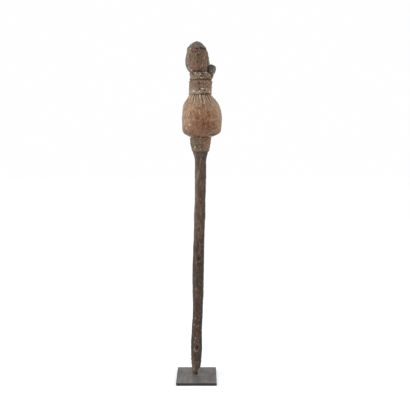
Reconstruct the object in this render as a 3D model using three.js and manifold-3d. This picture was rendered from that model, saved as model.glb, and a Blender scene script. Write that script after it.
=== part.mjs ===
// A carved magic staff on its display stand: a hewn wooden shaft with a gathered hide bundle,
// a bound neck, a crusted head and a knot at its side, standing on a square steel plate.
// Millimetres, +Z up. The origin is the centre of the plate's underside, and -Y is the front.
import * as THREE from "three";
import { mergeVertices } from "three/addons/utils/BufferGeometryUtils.js";
import Module from "manifold-3d";

const { clamp, lerp, smoothstep } = THREE.MathUtils;
const wasm = await Module();
wasm.setup();

const FRONT = -Math.PI / 2;
const RIGHT = 0;
const GAP = 0.3; // air between pieces that touch on the real staff

// Heights below are measured from the plate's top face, where the staff begins.
const PLATE = { side: 80, thickness: 6.5, chamfer: 0.6 };
const PIN = { radius: 2.5, top: 34, tip: 1.2, x: -0.7, y: 3.2 };

// The staff's middle line, as [height, x, y]: the stick is a grown one, so it wanders a little.
const SPINE = [
  [0, -1.5, 4.5],
  [20, -0.9, 4],
  [38, -0.5, 3.6],
  [60, 0, 3.2],
  [92, 0.5, 2.8],
  [122, 2.2, 2.2],
  [164, 3, 1.4],
  [219, 3.5, 0.6],
  [285, 5.1, 0.4],
  [335, 6.7, 1],
  [394, 7.8, 1.8],
  [434, 8.2, 2],
  [455, 7.9, 2],
  [469, 8, 2],
  [478, 9, 2],
  [484, 10.3, 2],
  [514, 11.3, 2],
  [524, 11, 2],
  [535, 9.4, 2],
  [546, 8.7, 2],
  [559, 8, 2],
  [573, 8.4, 2],
  [586, 9, 2],
  [596, 8.6, 2],
  [601, 6, 2],
  [606, 3.7, 2],
  [612, 2.7, 2],
  [629, 1.8, 2],
  [640, 1.5, 2],
  [649, 0.8, 2],
  [660, 1.6, 2],
];

// Outlines are [height, radius]. Layers of crust are lumps of one size: seed picks the pattern.
const SHAFT = {
  segments: 24,
  plug: 15.2,
  plugFoot: 452,
  top: 478,
  facets: 8,
  facetDepth: 0.7, // 1 would leave a true polygon
  facetDrift: 1.4,
  driftLength: 55,
  proud: 0.45, // what the ridges between the flats add to the outline
  crust: [{ size: 7, depth: 0.35, seed: 3, stretch: 4 }],
  outline: [
    [0, 7.6],
    [10, 8.4],
    [20, 9.8],
    [38, 10.9],
    [60, 11.2],
    [92, 10.6],
    [122, 9.9],
    [164, 10.6],
    [219, 11.5],
    [285, 10.6],
    [335, 11],
    [355, 10.4],
    [394, 11],
    [434, 11.2],
    [442, 13],
    [448, 15.2],
  ],
};

// The foot has broken off at a slant, so its underside climbs towards the broken side.
const FOOT = { slant: 26, lift: 14, middleLift: 4, brokenSide: RIGHT - 0.3, notches: 5, ragged: 0.25 };

// Scars in the wood: where they are, how wide, how deep, and how proud their rims stand.
const SCARS = [
  { height: 237, angle: FRONT + 0.17, size: 3.6, depth: 1.9, rim: 0.9 },
  { height: 55, angle: FRONT + 0.13, size: 5, depth: 1.2, rim: 0.8 },
  { height: 74, angle: FRONT - 0.35, size: 4, depth: 0.9, rim: 0.5 },
  { height: 355, angle: FRONT + 0.1, size: 4, depth: 1.3, rim: 0.3 },
  { height: 118, angle: FRONT + 2.6, size: 5, depth: 1.3, rim: 0.9 },
  { height: 301, angle: FRONT + 3.5, size: 4.5, depth: 1.4, rim: 0.8 },
  { height: 176, angle: FRONT - 1.7, size: 4, depth: 1.1, rim: 0.7 },
];

const COLLAR = {
  segments: 36,
  bore: 15.7,
  foot: 449.3,
  top: 478,
  raggedEdge: 1.6,
  raggedLobes: 2.2,
  frayed: 7, // height of the frayed band
  crust: [{ size: 6, depth: 0.8, seed: 40 }],
  outline: [
    [449.3, 17],
    [455, 17.8],
    [463, 19],
    [469, 20.1],
    [478, 20.7],
  ],
};

const BUNDLE = {
  segments: 72,
  foot: 478.3,
  tie: 558.6,
  neck: 16.5,
  neckTop: 583,
  pleats: 24,
  pleatDepth: 1.5,
  pleatVariety: 0.8,
  pleatsFrom: 528,
  pleatsTo: 552,
  gathers: 16,
  gatherDepth: 0.9,
  gathersTo: 496,
  crust: [{ size: 17, depth: 0.9, seed: 11 }],
  outline: [
    [478.3, 20.5],
    [480, 22.6],
    [483.2, 29.4],
    [487, 34.3],
    [492.8, 36.9],
    [504, 38],
    [514, 38.6],
    [524, 37.8],
    [535, 35.3],
    [546, 29.4],
    [554, 24.4],
    [558.6, 21.4],
  ],
};

const BINDING = {
  segments: 36,
  bore: 17,
  foot: 559,
  top: 585.8,
  seam: FRONT - 0.06,
  seamWidth: 0.16,
  cloth: 0.5, // thickness of the turn that ends at the seam
  foldDepth: 0.35,
  foldSpacing: 7,
  crust: [{ size: 6, depth: 0.55, seed: 70 }],
  outline: [
    [559, 22],
    [564, 21.3],
    [573, 21.6],
    [580, 22.2],
    [585.8, 22.5],
  ],
};

const RING = {
  segments: 32,
  bore: 16,
  foot: 586.1,
  top: 600.4,
  crust: [{ size: 5.5, depth: 1.3, seed: 20 }],
  outline: [
    [586.1, 21.2],
    [591, 20.2],
    [596, 20.7],
    [600.4, 20],
  ],
};

const HEAD = {
  segments: 32,
  plug: 15.5,
  plugFoot: 583.3,
  plugMiddle: 593,
  shoulder: 600.9,
  top: 660,
  crown: 6, // inside this radius the crown stays smooth
  crust: [
    { size: 9, depth: 0.9, seed: 5 },
    { size: 5, depth: 0.5, seed: 60 },
  ],
  outline: [
    [600.9, 19.3],
    [606, 20.2],
    [612, 22.2],
    [618, 23.1],
    [629, 21.9],
    [640, 19.8],
    [648, 16.6],
    [652, 12.8],
    [656.5, 8],
    [660, 0],
  ],
};

// The cap-like top of the head: a wavy edge with a groove under it, and a hump at the right.
const CAP = {
  edge: 645,
  wave: 1.5,
  groove: 1.4,
  lip: 0.7,
  hump: 1.8,
  humpHeight: 654,
  humpSide: RIGHT - 0.5,
};

// The knot has a middle line of its own, beside the head.
const KNOT = {
  segments: 16,
  foot: 587.6,
  top: 616.6,
  core: 4, // inside this radius the ends stay smooth
  crust: [{ size: 6, depth: 0.8, seed: 90 }],
  spine: [
    [587.6, 25.6, 1.5],
    [596, 25.7, 1.5],
    [600, 26.4, 1.5],
    [605, 27.4, 1.5],
    [616.6, 28.2, 1.5],
  ],
  outline: [
    [587.6, 0],
    [588.6, 5.6],
    [592, 7],
    [596, 7.2],
    [600, 9],
    [605, 10.2],
    [610.5, 9.9],
    [614, 7],
    [616.6, 0],
  ],
};

// A pseudo-random value from -1 to 1 that belongs to one lattice point.
function latticeValue(x, y, z) {
  const wave = Math.sin(x * 127.1 + y * 311.7 + z * 74.7) * 43758.5453;
  return 2 * (wave - Math.floor(wave)) - 1;
}

// Smooth lumps from -1 to 1 through space, one lump to about each unit.
function lumps(x, y, z) {
  const cell = [x, y, z].map(Math.floor);
  const [u, v, w] = [x, y, z].map((value, axis) => smoothstep(value - cell[axis], 0, 1));
  const corner = (i, j, k) => latticeValue(cell[0] + i, cell[1] + j, cell[2] + k);
  const edge = (j, k) => lerp(corner(0, j, k), corner(1, j, k), u);
  return lerp(lerp(edge(0, 0), edge(1, 0), v), lerp(edge(0, 1), edge(1, 1), v), w);
}

// The values at one height, on a smooth line through stations of [height, value, ...].
function along(stations, height) {
  const last = stations.length - 1;
  const next = stations.findIndex((station) => station[0] > height);
  const i = clamp(next < 0 ? last - 1 : next - 1, 0, last - 1);
  const [before, from, to, after] = [i - 1, i, i + 1, i + 2].map((k) => stations[clamp(k, 0, last)]);
  const span = to[0] - from[0];
  const t = clamp((height - from[0]) / span, 0, 1);
  return from.slice(1).map((value, index) => {
    const k = index + 1; // each station's first entry is its height
    const leave = ((to[k] - before[k]) / (to[0] - before[0])) * span;
    const arrive = ((after[k] - from[k]) / (after[0] - from[0])) * span;
    const ease = t * t * (3 - 2 * t);
    const bend = leave * t * (1 - t) ** 2 - arrive * t * t * (1 - t);
    return lerp(value, to[k], ease) + bend;
  });
}

// Evenly spaced heights.
function levels(from, to, steps) {
  return Array.from({ length: steps + 1 }, (_, i) => lerp(from, to, i / steps));
}

// Points of [radius, height] along an outline, at the heights given.
function pointsOf(outline, heights) {
  return heights.map((height) => [Math.max(0, along(outline, height)[0]), height]);
}

// A closed round blank turned about Z from an outline of [radius, height] points.
function turned(profile, segments) {
  const points = profile.map(([radius, height]) => new THREE.Vector2(radius, height));
  const blank = new THREE.LatheGeometry(points, segments).rotateX(Math.PI / 2);
  blank.deleteAttribute("normal");
  blank.deleteAttribute("uv");
  return mergeVertices(blank, 1e-3);
}

// Carves a blank: reshape gets each point's angle, height and radius and returns its new radius
// and height, and the spine then carries the point sideways.
function carve(blank, spine, reshape) {
  const points = blank.getAttribute("position");
  for (let i = 0; i < points.count; i++) {
    const [x, y, height] = [points.getX(i), points.getY(i), points.getZ(i)];
    const angle = Math.atan2(y, x);
    const cut = reshape(angle, height, Math.hypot(x, y));
    const [middleX, middleY] = along(spine, height);
    points.setXYZ(
      i,
      middleX + cut.radius * Math.cos(angle),
      middleY + cut.radius * Math.sin(angle),
      cut.height,
    );
  }
  return blank;
}

// How far one angle lies from another, the short way round.
function turn(angle, from) {
  return Math.atan2(Math.sin(angle - from), Math.cos(angle - from));
}

// How far layers of crust raise or sink one point of a round surface.
function crusted(layers, angle, height, radius) {
  return layers.reduce((sum, { size, depth, seed, stretch = 1 }) => {
    const place = [radius * Math.cos(angle), radius * Math.sin(angle), height / stretch + seed];
    return sum + depth * lumps(...place.map((value) => value / size));
  }, 0);
}

// Slow variety from -1 to 1 round a piece: more lobes change faster.
function variety(angle, lobes, seed) {
  return lumps(lobes * Math.cos(angle), lobes * Math.sin(angle), seed);
}

function bell(distance, width) {
  return Math.exp(-((distance / width) ** 2));
}

// A closed mesh as a solid that can be cut, and back again.
function solid(geometry) {
  const mesh = new wasm.Mesh({
    numProp: 3,
    vertProperties: new Float32Array(geometry.getAttribute("position").array),
    triVerts: new Uint32Array(geometry.index.array),
  });
  return new wasm.Manifold(mesh);
}

// The largest body of a cut solid, without the crumbs that the cut left.
function largestBody(manifold) {
  return manifold.decompose().reduce((best, body) => (body.volume() > best.volume() ? body : best));
}

function geometryOf(manifold) {
  const mesh = manifold.getMesh();
  const geometry = new THREE.BufferGeometry();
  geometry.setAttribute("position", new THREE.BufferAttribute(mesh.vertProperties, 3));
  geometry.setIndex(new THREE.BufferAttribute(mesh.triVerts, 1));
  return geometry;
}

function piece(name, geometry, material) {
  geometry.computeVertexNormals();
  const mesh = new THREE.Mesh(geometry, material);
  mesh.name = name;
  return mesh;
}

function finish(color, roughness, metalness = 0) {
  return new THREE.MeshStandardMaterial({ color, roughness, metalness });
}

// A square plate with its edges broken by a small chamfer.
function basePlate() {
  const half = PLATE.side / 2 - PLATE.chamfer;
  const square = new THREE.Shape([
    new THREE.Vector2(-half, -half),
    new THREE.Vector2(half, -half),
    new THREE.Vector2(half, half),
    new THREE.Vector2(-half, half),
  ]);
  const plate = new THREE.ExtrudeGeometry(square, {
    depth: PLATE.thickness - 2 * PLATE.chamfer,
    bevelSize: PLATE.chamfer,
    bevelThickness: PLATE.chamfer,
    bevelSegments: 1,
  });
  return piece("base_plate", plate.translate(0, 0, PLATE.chamfer), finish(0x4a4846, 0.4, 0.8));
}

function mountingPin() {
  const profile = [
    [0, GAP],
    [PIN.radius, GAP],
    [PIN.radius, PIN.top - PIN.tip],
    [PIN.radius - PIN.tip, PIN.top],
    [0, PIN.top],
  ];
  const pin = turned(profile, 12).translate(PIN.x, PIN.y, 0);
  return piece("mounting_pin", pin, finish(0x3c3a38, 0.45, 0.9));
}

// The hole in the foot that the pin fills, with air round it.
function pinHole() {
  const profile = [
    [0, -1],
    [PIN.radius + GAP, -1],
    [PIN.radius + GAP, PIN.top + GAP],
    [0, PIN.top + GAP],
  ];
  return solid(turned(profile, 12).translate(PIN.x, PIN.y, 0));
}

// How far the foot's underside is lifted: share is 0 in its middle and 1 at its rim.
function footLift(angle, height, share) {
  const { slant, lift, middleLift, brokenSide, notches, ragged } = FOOT;
  const side = 0.5 + 0.5 * Math.cos(angle - brokenSide);
  const rim = lift * side ** 3 * (1 + ragged * Math.sin(notches * angle));
  return lerp(middleLift, rim, share) * clamp(1 - height / slant, 0, 1);
}

// The cut that one scar makes, with its rim round it.
function scarCut(scar, angle, height, radius) {
  const distance = Math.hypot(turn(angle, scar.angle) * radius, height - scar.height);
  const rim = scar.rim * bell(distance - 1.3 * scar.size, 0.5 * scar.size);
  return rim - scar.depth * bell(distance, 0.7 * scar.size);
}

// A hewn shaft: long flats, slow lumps, healed scars, and a foot that is broken off at a slant.
function shaft() {
  const { outline, plug, plugFoot, top, facets, facetDepth, facetDrift, driftLength, segments } = SHAFT;
  const heights = [
    ...levels(GAP, 24, 8),
    ...levels(29, 84, 10),
    ...levels(96, 224, 10),
    ...levels(230, 248, 4),
    ...levels(262, 344, 6),
    ...levels(351, 359, 2),
    ...levels(370, 430, 5),
    ...levels(436, 448, 3),
  ];
  const hidden = [
    [plug, plugFoot],
    [plug, (COLLAR.foot + COLLAR.top) / 2],
    [plug, top],
    [0, top],
  ];
  const profile = [[0, GAP], [outline[0][1] / 2, GAP], ...pointsOf(outline, heights), ...hidden];
  const flatDepth = (angle, height) => {
    const flat = turn(angle * facets, facetDrift * lumps(height / driftLength, 0.5, 0.5)) / facets;
    return facetDepth * (1 - Math.cos(Math.PI / facets) / Math.cos(flat));
  };
  const carved = carve(turned(profile, segments), SPINE, (angle, height, radius) => {
    const bare = radius < outline[0][1] / 1.5 || height > 450 ? 0 : 1;
    const scars = SCARS.reduce((sum, scar) => sum + scarCut(scar, angle, height, radius), 0);
    const hewn = SHAFT.proud - radius * flatDepth(angle, height);
    const cut = hewn + scars + crusted(SHAFT.crust, angle, height, radius);
    const share = Math.min(1, radius / outline[0][1]);
    return { radius: radius + bare * cut, height: height + footLift(angle, height, share) };
  });
  const drilled = solid(carved).subtract(pinHole());
  return piece("shaft", geometryOf(drilled), finish(0x56473f, 0.8));
}

// The outline of a sleeve: up its outside, over the rim and down its bore, closed on itself.
function sleeve({ outline, foot, top, bore }, steps) {
  const outside = pointsOf(outline, levels(foot, top, steps));
  const inside = levels(top, foot, 2).map((height) => [bore, height]);
  return [...outside, ...inside, outside[0]];
}

// 0 on a sleeve's bore, so that the bore stays round, and 1 on its outside.
function outsideOf({ bore }, radius) {
  return smoothstep(radius, bore, bore + 1);
}

// The caked wrapping round the shaft's top, with a ragged lower edge.
function collar() {
  const { segments, foot, frayed, raggedEdge, raggedLobes, crust } = COLLAR;
  const caked = carve(turned(sleeve(COLLAR, 6), segments), SPINE, (angle, height, radius) => {
    const fray = 1 - smoothstep(height, foot, foot + frayed);
    return {
      radius: radius + outsideOf(COLLAR, radius) * crusted(crust, angle, height, radius),
      height: height + raggedEdge * variety(angle, raggedLobes, 0.3) * fray,
    };
  });
  return piece("collar", caked, finish(0x6f6055, 0.95));
}

// How far the bundle's skin is drawn in and out by its pleats above and its gathers below.
function gathered(angle, height) {
  const drawn = smoothstep(height, BUNDLE.pleatsFrom, BUNDLE.pleatsTo);
  const depth = BUNDLE.pleatDepth + BUNDLE.pleatVariety * variety(angle, 3, 7);
  const under = 1 - smoothstep(height, BUNDLE.foot, BUNDLE.gathersTo);
  const pleats = depth * drawn * Math.cos(BUNDLE.pleats * angle);
  return pleats + BUNDLE.gatherDepth * under * Math.cos(BUNDLE.gathers * angle + 2 * Math.sin(3 * angle));
}

// A stuffed bag of hide, tied at its neck, which goes on up inside the binding.
function bundle() {
  const { outline, segments, foot, tie, neck, neckTop, crust } = BUNDLE;
  const heights = [...levels(foot, 490.3, 5), ...levels(496, 528, 4), ...levels(534, tie, 5)];
  const inBinding = [
    [neck, tie + 0.05],
    [neck, neckTop],
    [0, neckTop],
  ];
  const profile = [[0, foot], ...pointsOf(outline, heights), ...inBinding];
  const sewn = carve(turned(profile, segments), SPINE, (angle, height, radius) => {
    const skin = smoothstep(radius, neck, neck + 4);
    const swell = gathered(angle, height) + crusted(crust, angle, height, radius);
    return { radius: radius + skin * swell, height };
  });
  return piece("bundle", sewn, finish(0xa57f60, 0.7));
}

// A cloth band wound round the neck: its last turn ends at a seam in front.
function neckBinding() {
  const { segments, seam, seamWidth, cloth, foldDepth, foldSpacing, crust } = BINDING;
  const wound = carve(turned(sleeve(BINDING, 5), segments), SPINE, (angle, height, radius) => {
    const lap = cloth * (0.5 - smoothstep(turn(angle, seam), -seamWidth, 0));
    const fold = foldDepth * Math.sin((2 * Math.PI * height) / foldSpacing + 2.5 * Math.sin(angle));
    const swell = lap + fold + crusted(crust, angle, height, radius);
    return { radius: radius + outsideOf(BINDING, radius) * swell, height };
  });
  return piece("neck_binding", wound, finish(0x84705f, 0.95));
}

// The ring of caked matter round the head's foot, grown by some air where it cuts the knot.
function ringSolid(air) {
  const blank = turned(sleeve(RING, 5), RING.segments);
  const caked = carve(blank, SPINE, (angle, height, radius) => {
    const swell = air + crusted(RING.crust, angle, height, radius);
    return { radius: radius + outsideOf(RING, radius) * swell, height };
  });
  return solid(caked);
}

// What the cap adds to the head's radius at one point.
function capRelief(angle, height) {
  const { edge, wave, groove, lip, hump, humpHeight, humpSide } = CAP;
  const above = height - edge - wave * Math.sin(3 * angle + 1);
  const humped = hump * bell(turn(angle, humpSide), 0.5) * bell(height - humpHeight, 3);
  return humped + lip * bell(above - 1.5, 2) - groove * bell(above + 2.5, 1.6);
}

// The head on its round foot, grown by some air where it cuts the knot.
function headSolid(air) {
  const { outline, segments, plug, plugFoot, plugMiddle, shoulder, top, crown, crust } = HEAD;
  const heights = [...levels(shoulder, 640, 8), 642.5, ...levels(CAP.edge, top - 1, 7), top];
  const foot = [
    [0, plugFoot],
    [plug, plugFoot],
    [plug, plugMiddle],
    [plug, shoulder - 0.4],
  ];
  const profile = [...foot, ...pointsOf(outline, heights)];
  const carved = carve(turned(profile, segments), SPINE, (angle, height, radius) => {
    const skin = height < shoulder ? 0 : Math.min(1, radius / crown);
    const swell = air + capRelief(angle, height) + crusted(crust, angle, height, radius);
    return { radius: radius + skin * swell, height };
  });
  return solid(carved);
}

// A knot with a short tail, tucked against the head and the ring.
function sideKnot() {
  const { outline, spine, segments, foot, top, core, crust } = KNOT;
  const heights = [foot, ...levels(foot + 1, top - 2.6, 9), top];
  const lump = carve(turned(pointsOf(outline, heights), segments), spine, (angle, height, radius) => {
    const swell = Math.min(1, radius / core) * crusted(crust, angle, height, radius);
    return { radius: radius + swell, height };
  });
  const air = GAP + 0.1;
  const tucked = solid(lump).subtract(headSolid(air)).subtract(ringSolid(air));
  return piece("side_knot", geometryOf(largestBody(tucked)), finish(0x66645a, 0.9));
}

const stand = new THREE.Group();
stand.add(basePlate());

const staff = new THREE.Group();
staff.position.z = PLATE.thickness;
staff.add(
  mountingPin(),
  shaft(),
  collar(),
  bundle(),
  neckBinding(),
  piece("crust_ring", geometryOf(ringSolid(0)), finish(0x766658, 0.95)),
  piece("head", geometryOf(headSolid(0)), finish(0x6b584c, 0.9)),
  sideKnot(),
);

const object = new THREE.Group();
object.add(stand, staff);

export default object;
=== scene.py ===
# %% [markdown]
# # A carved magic staff on its stand
#
# The staff is a hewn stick that carries a bundle of hide, tied at its neck, and a crusted head.
# It stands on a small steel plate. The solids that come with this lesson already have the real
# sizes and the outline. What they lack is the surface: wood grain, pleats, cloth, crust and
# colour. Each step below makes a fine skin for one solid, carves it and gives it a finish.

# %% Load the solids
import math
import random
from collections import namedtuple

import bmesh
import bpy
import numpy as np
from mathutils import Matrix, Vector, noise
from mathutils.bvhtree import BVHTree


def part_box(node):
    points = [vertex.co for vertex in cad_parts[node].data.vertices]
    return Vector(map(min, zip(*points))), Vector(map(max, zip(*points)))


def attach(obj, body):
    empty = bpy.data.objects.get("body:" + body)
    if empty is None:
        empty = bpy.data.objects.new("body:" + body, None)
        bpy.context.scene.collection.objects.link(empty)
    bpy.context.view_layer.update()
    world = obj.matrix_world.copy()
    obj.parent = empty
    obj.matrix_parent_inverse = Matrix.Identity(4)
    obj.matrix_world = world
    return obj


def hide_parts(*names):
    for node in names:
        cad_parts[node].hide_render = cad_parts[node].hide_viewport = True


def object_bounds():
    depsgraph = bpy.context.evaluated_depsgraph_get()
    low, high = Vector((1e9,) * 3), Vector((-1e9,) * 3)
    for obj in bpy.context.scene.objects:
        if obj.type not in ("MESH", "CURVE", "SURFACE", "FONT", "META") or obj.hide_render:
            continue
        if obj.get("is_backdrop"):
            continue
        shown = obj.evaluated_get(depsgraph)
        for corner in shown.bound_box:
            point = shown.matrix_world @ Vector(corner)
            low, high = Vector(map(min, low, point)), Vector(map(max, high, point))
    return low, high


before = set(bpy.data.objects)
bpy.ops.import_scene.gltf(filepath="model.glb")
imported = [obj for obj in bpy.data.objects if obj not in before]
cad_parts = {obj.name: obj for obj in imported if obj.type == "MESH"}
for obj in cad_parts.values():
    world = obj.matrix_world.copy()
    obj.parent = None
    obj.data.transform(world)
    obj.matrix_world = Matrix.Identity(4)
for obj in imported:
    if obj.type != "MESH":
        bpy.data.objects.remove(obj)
cad_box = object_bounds()
print("the solids:", ", ".join(sorted(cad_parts)))

# %% [markdown]
# ## Units and the camera
#
# Blender works in metres, but a carver thinks in millimetres, so heights on the staff are given
# in millimetres above the plate's top face. The camera stands a little over a metre in front,
# at the height of the staff's middle and tilted slightly down, as the photographer had it.

# %% Camera
MM = 0.001
PLATE_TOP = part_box("base_plate")[1].z

CAMERA_PLACE = (0.01687, -1.13207, 0.4781)
CAMERA_TILT = math.radians(6.337)
CAMERA_LENS = 51.0

camera = bpy.data.objects.new("camera", bpy.data.cameras.new("camera"))
camera.data.lens = CAMERA_LENS
camera.location = CAMERA_PLACE
camera.rotation_euler = (math.pi / 2 - CAMERA_TILT, 0, 0)
bpy.context.scene.collection.objects.link(camera)
bpy.context.scene.camera = camera
bpy.context.scene.view_settings.view_transform = "Standard"
print(f"camera {-CAMERA_PLACE[1] * 1000:.0f} mm in front of the plate's middle")

# %% [markdown]
# ## Light, backdrop and floor
#
# The photo was taken in a white studio: a wide soft light at the left, a weaker one at the
# right, and white paper all round that fills the shadows. The backdrop is the world colour.
# Lamps reach further than paper does, so the world looks white but lights the staff less.

# %% Studio
PAPER = 0.993
PAPER_LIGHT = 0.34


def new_world():
    world = bpy.data.worlds.new("white_studio")
    world.use_nodes = True
    tree = world.node_tree
    background = tree.nodes["Background"]
    seen = tree.nodes.new("ShaderNodeLightPath").outputs["Is Camera Ray"]
    strength = tree.nodes.new("ShaderNodeMapRange")
    strength.inputs["To Min"].default_value = PAPER_LIGHT
    strength.inputs["To Max"].default_value = PAPER
    tree.links.new(seen, strength.inputs["Value"])
    tree.links.new(strength.outputs["Result"], background.inputs["Strength"])
    background.inputs["Color"].default_value = (1, 1, 1, 1)
    return world


def soft_light(name, place, aim, size, power, tint=(1, 1, 1)):
    lamp = bpy.data.lights.new(name, "AREA")
    lamp.color = tint
    lamp.shape = "RECTANGLE"
    lamp.size, lamp.size_y = size
    lamp.energy = power
    light = bpy.data.objects.new(name, lamp)
    light.location = place
    light.rotation_euler = (Vector(aim) - Vector(place)).to_track_quat("-Z", "Y").to_euler()
    bpy.context.scene.collection.objects.link(light)


bpy.context.scene.world = new_world()
STAFF_MIDDLE = (0.0, 0.0, 0.36)
COOL = (0.84, 0.93, 1.0)
soft_light("left_light", (-1.1, -0.35, 0.9), STAFF_MIDDLE, (0.5, 1.2), 13.5, COOL)
soft_light("right_light", (1.1, 0.15, 0.9), STAFF_MIDDLE, (0.5, 1.2), 10.5, COOL)
soft_light("front_light", (-0.2, -1.5, 1.4), STAFF_MIDDLE, (1.0, 1.0), 4.5)

# %% [markdown]
# ## Small helpers for finishes
#
# A finish is a tree of shader nodes. Three things come back in every one: noise on the object's
# own coordinates, a value painted on the mesh while it was carved, and colours mixed by either.
# Short helpers for them keep each finish readable.

# %% Node helpers


def colour(code):
    """A colour as a painter names it, in hex, turned to the linear light that shaders use."""
    parts = [int(code[i : i + 2], 16) / 255 for i in (0, 2, 4)]
    linear = [c / 12.92 if c <= 0.04045 else ((c + 0.055) / 1.055) ** 2.4 for c in parts]
    return (*linear, 1.0)


class Finish:
    """A material with one Principled shader, and short calls for the nodes that feed it."""

    def __init__(self, name, roughness=0.8, metallic=0.0, **settings):
        self.material = bpy.data.materials.new(name)
        self.material.use_nodes = True
        self.tree = self.material.node_tree
        self.shader = self.tree.nodes["Principled BSDF"]
        self.shader.inputs["Roughness"].default_value = roughness
        self.shader.inputs["Metallic"].default_value = metallic
        for socket, value in settings.items():
            self.shader.inputs[socket.replace("_", " ").title().replace("Ior", "IOR")].default_value = value
        self.here = self.tree.nodes.new("ShaderNodeTexCoord").outputs["Object"]

    def node(self, kind, inputs, **settings):
        made = self.tree.nodes.new(kind)
        for key, value in settings.items():
            setattr(made, key, value)
        for key, value in inputs.items():
            if isinstance(value, bpy.types.NodeSocket):
                self.tree.links.new(value, made.inputs[key])
            else:
                made.inputs[key].default_value = value
        return made

    def scaled(self, size, stretch=(1, 1, 1), shift=(0, 0, 0)):
        """The object's coordinates, so that one unit is size millimetres times stretch."""
        scale = [1 / (size * MM * s) for s in stretch]
        return self.node("ShaderNodeMapping", {"Vector": self.here, "Scale": scale, "Location": shift}).outputs[0]

    def noise(self, size, stretch=(1, 1, 1), detail=3.0, rough=0.55, shift=(0, 0, 0), warp=0.0):
        where = self.scaled(size, stretch, shift)
        inputs = {"Vector": where, "Scale": 1.0, "Detail": detail, "Roughness": rough, "Distortion": warp}
        return self.node("ShaderNodeTexNoise", inputs).outputs["Fac"]

    def cells(self, size, stretch=(1, 1, 1), feature="F1", shift=(0, 0, 0)):
        inputs = {"Vector": self.scaled(size, stretch, shift), "Scale": 1.0}
        return self.node("ShaderNodeTexVoronoi", inputs, feature=feature).outputs["Distance"]

    def painted(self, name):
        return self.node("ShaderNodeAttribute", {}, attribute_name=name).outputs["Fac"]

    def band(self, value, low, high, to_low=0.0, to_high=1.0):
        """Stretches the part of a value from low to high over the new range, and clips the rest."""
        inputs = {"Value": value, "From Min": low, "From Max": high, "To Min": to_low, "To Max": to_high}
        return self.node("ShaderNodeMapRange", inputs, interpolation_type="SMOOTHSTEP").outputs["Result"]

    def math(self, operation, first, second):
        return self.node("ShaderNodeMath", {0: first, 1: second}, operation=operation).outputs[0]

    def mix(self, share, first, second, blend="MIX"):
        made = self.node("ShaderNodeMix", {}, data_type="RGBA", blend_type=blend)
        for index, value in ((0, share), (6, first), (7, second)):
            if isinstance(value, bpy.types.NodeSocket):
                self.tree.links.new(value, made.inputs[index])
            else:
                made.inputs[index].default_value = value
        return made.outputs[2]

    def over(self, base, mask, low, high, code, most=1.0):
        """Lays a colour over a base where a mask rises from low to high."""
        return self.mix(self.band(mask, low, high, 0.0, most), base, colour(code))

    def height(self, low, high):
        """0 to 1 between two heights in millimetres above the plate."""
        z = self.node("ShaderNodeSeparateXYZ", {"Vector": self.here}).outputs["Z"]
        return self.band(z, PLATE_TOP + low * MM, PLATE_TOP + high * MM)

    def colour(self, socket):
        self.tree.links.new(socket, self.shader.inputs["Base Color"])

    def roughness(self, socket):
        self.tree.links.new(socket, self.shader.inputs["Roughness"])

    def bump(self, *layers):
        """Layers of (value, depth in millimetres), stacked into one normal."""
        normal = None
        for value, depth in layers:
            inputs = {"Height": value, "Distance": depth * MM, "Strength": 1.0}
            made = self.node("ShaderNodeBump", inputs)
            if normal is not None:
                self.tree.links.new(normal, made.inputs["Normal"])
            normal = made.outputs["Normal"]
        self.tree.links.new(normal, self.shader.inputs["Normal"])


# %% Floor
FLOOR_SIZE = 12.0
NEAR_GLOW, FAR_GLOW = 0.36, 0.68


def new_floor():
    """White paper. It glows a little, and more further off, where the lamps no longer reach."""
    bm = bmesh.new()
    bmesh.ops.create_grid(bm, x_segments=1, y_segments=1, size=FLOOR_SIZE / 2)
    mesh = bpy.data.meshes.new("floor")
    bm.to_mesh(mesh)
    bm.free()
    paper = Finish("white_paper", roughness=0.7)
    pale = paper.noise(900, detail=1.0)
    paper.colour(paper.mix(pale, colour("f4f4f4"), colour("f8f8f8")))
    away = paper.node("ShaderNodeVectorMath", {0: paper.here}, operation="LENGTH").outputs["Value"]
    glow = paper.band(away, 0.1, 2.2, NEAR_GLOW, FAR_GLOW)
    paper.tree.links.new(glow, paper.shader.inputs["Emission Strength"])
    paper.shader.inputs["Emission Color"].default_value = (1, 1, 1, 1)
    mesh.materials.append(paper.material)
    floor = bpy.data.objects.new("floor", mesh)
    bpy.context.scene.collection.objects.link(floor)
    return floor


floor = new_floor()
floor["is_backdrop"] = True
print(f"floor {FLOOR_SIZE:.0f} m across, level with the plate's underside")

# %% [markdown]
# ## Measuring a solid
#
# Every part of the staff is roughly round about a middle line that wanders as the grown stick
# does. Rays sent at a solid from outside tell how far its surface is from that line. From them
# come the middle line and the mean radius at each height, which is all a lathe needs.

# %% Measure
OUTSIDE = 0.2
RAYS = 24
Line = namedtuple("Line", "z x y radius")


def surface_of(name):
    """One solid's surface, ready for rays and nearest-point searches."""
    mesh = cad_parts[name].data
    return BVHTree.FromPolygons([v.co for v in mesh.vertices], [p.vertices for p in mesh.polygons])


def slice_of(surface, middle, z):
    """The middle point and mean radius of a solid at one height."""
    for _ in range(3):
        hits = []
        for ray in range(RAYS):
            angle = (ray + 0.37) * 2 * math.pi / RAYS
            away = Vector((math.cos(angle), math.sin(angle), 0))
            hit = surface.ray_cast(Vector((middle.x, middle.y, z)) + OUTSIDE * away, -away)[0]
            if hit is not None:
                hits.append(hit)
        middle = sum(hits, Vector()) / len(hits)
    radius = sum((hit - middle).length for hit in hits) / len(hits)
    return middle, radius


def line_of(surface, low, high, step=3.0):
    """The middle line and radius of a solid between two heights."""
    rows = []
    middle = Vector((0, 0, 0))
    for z in np.linspace(low, high, max(3, round((high - low) / (step * MM)) + 1)):
        middle, radius = slice_of(surface, middle, z)
        rows.append((z, middle.x, middle.y, radius))
    return Line(*np.array(rows).T)


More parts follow.
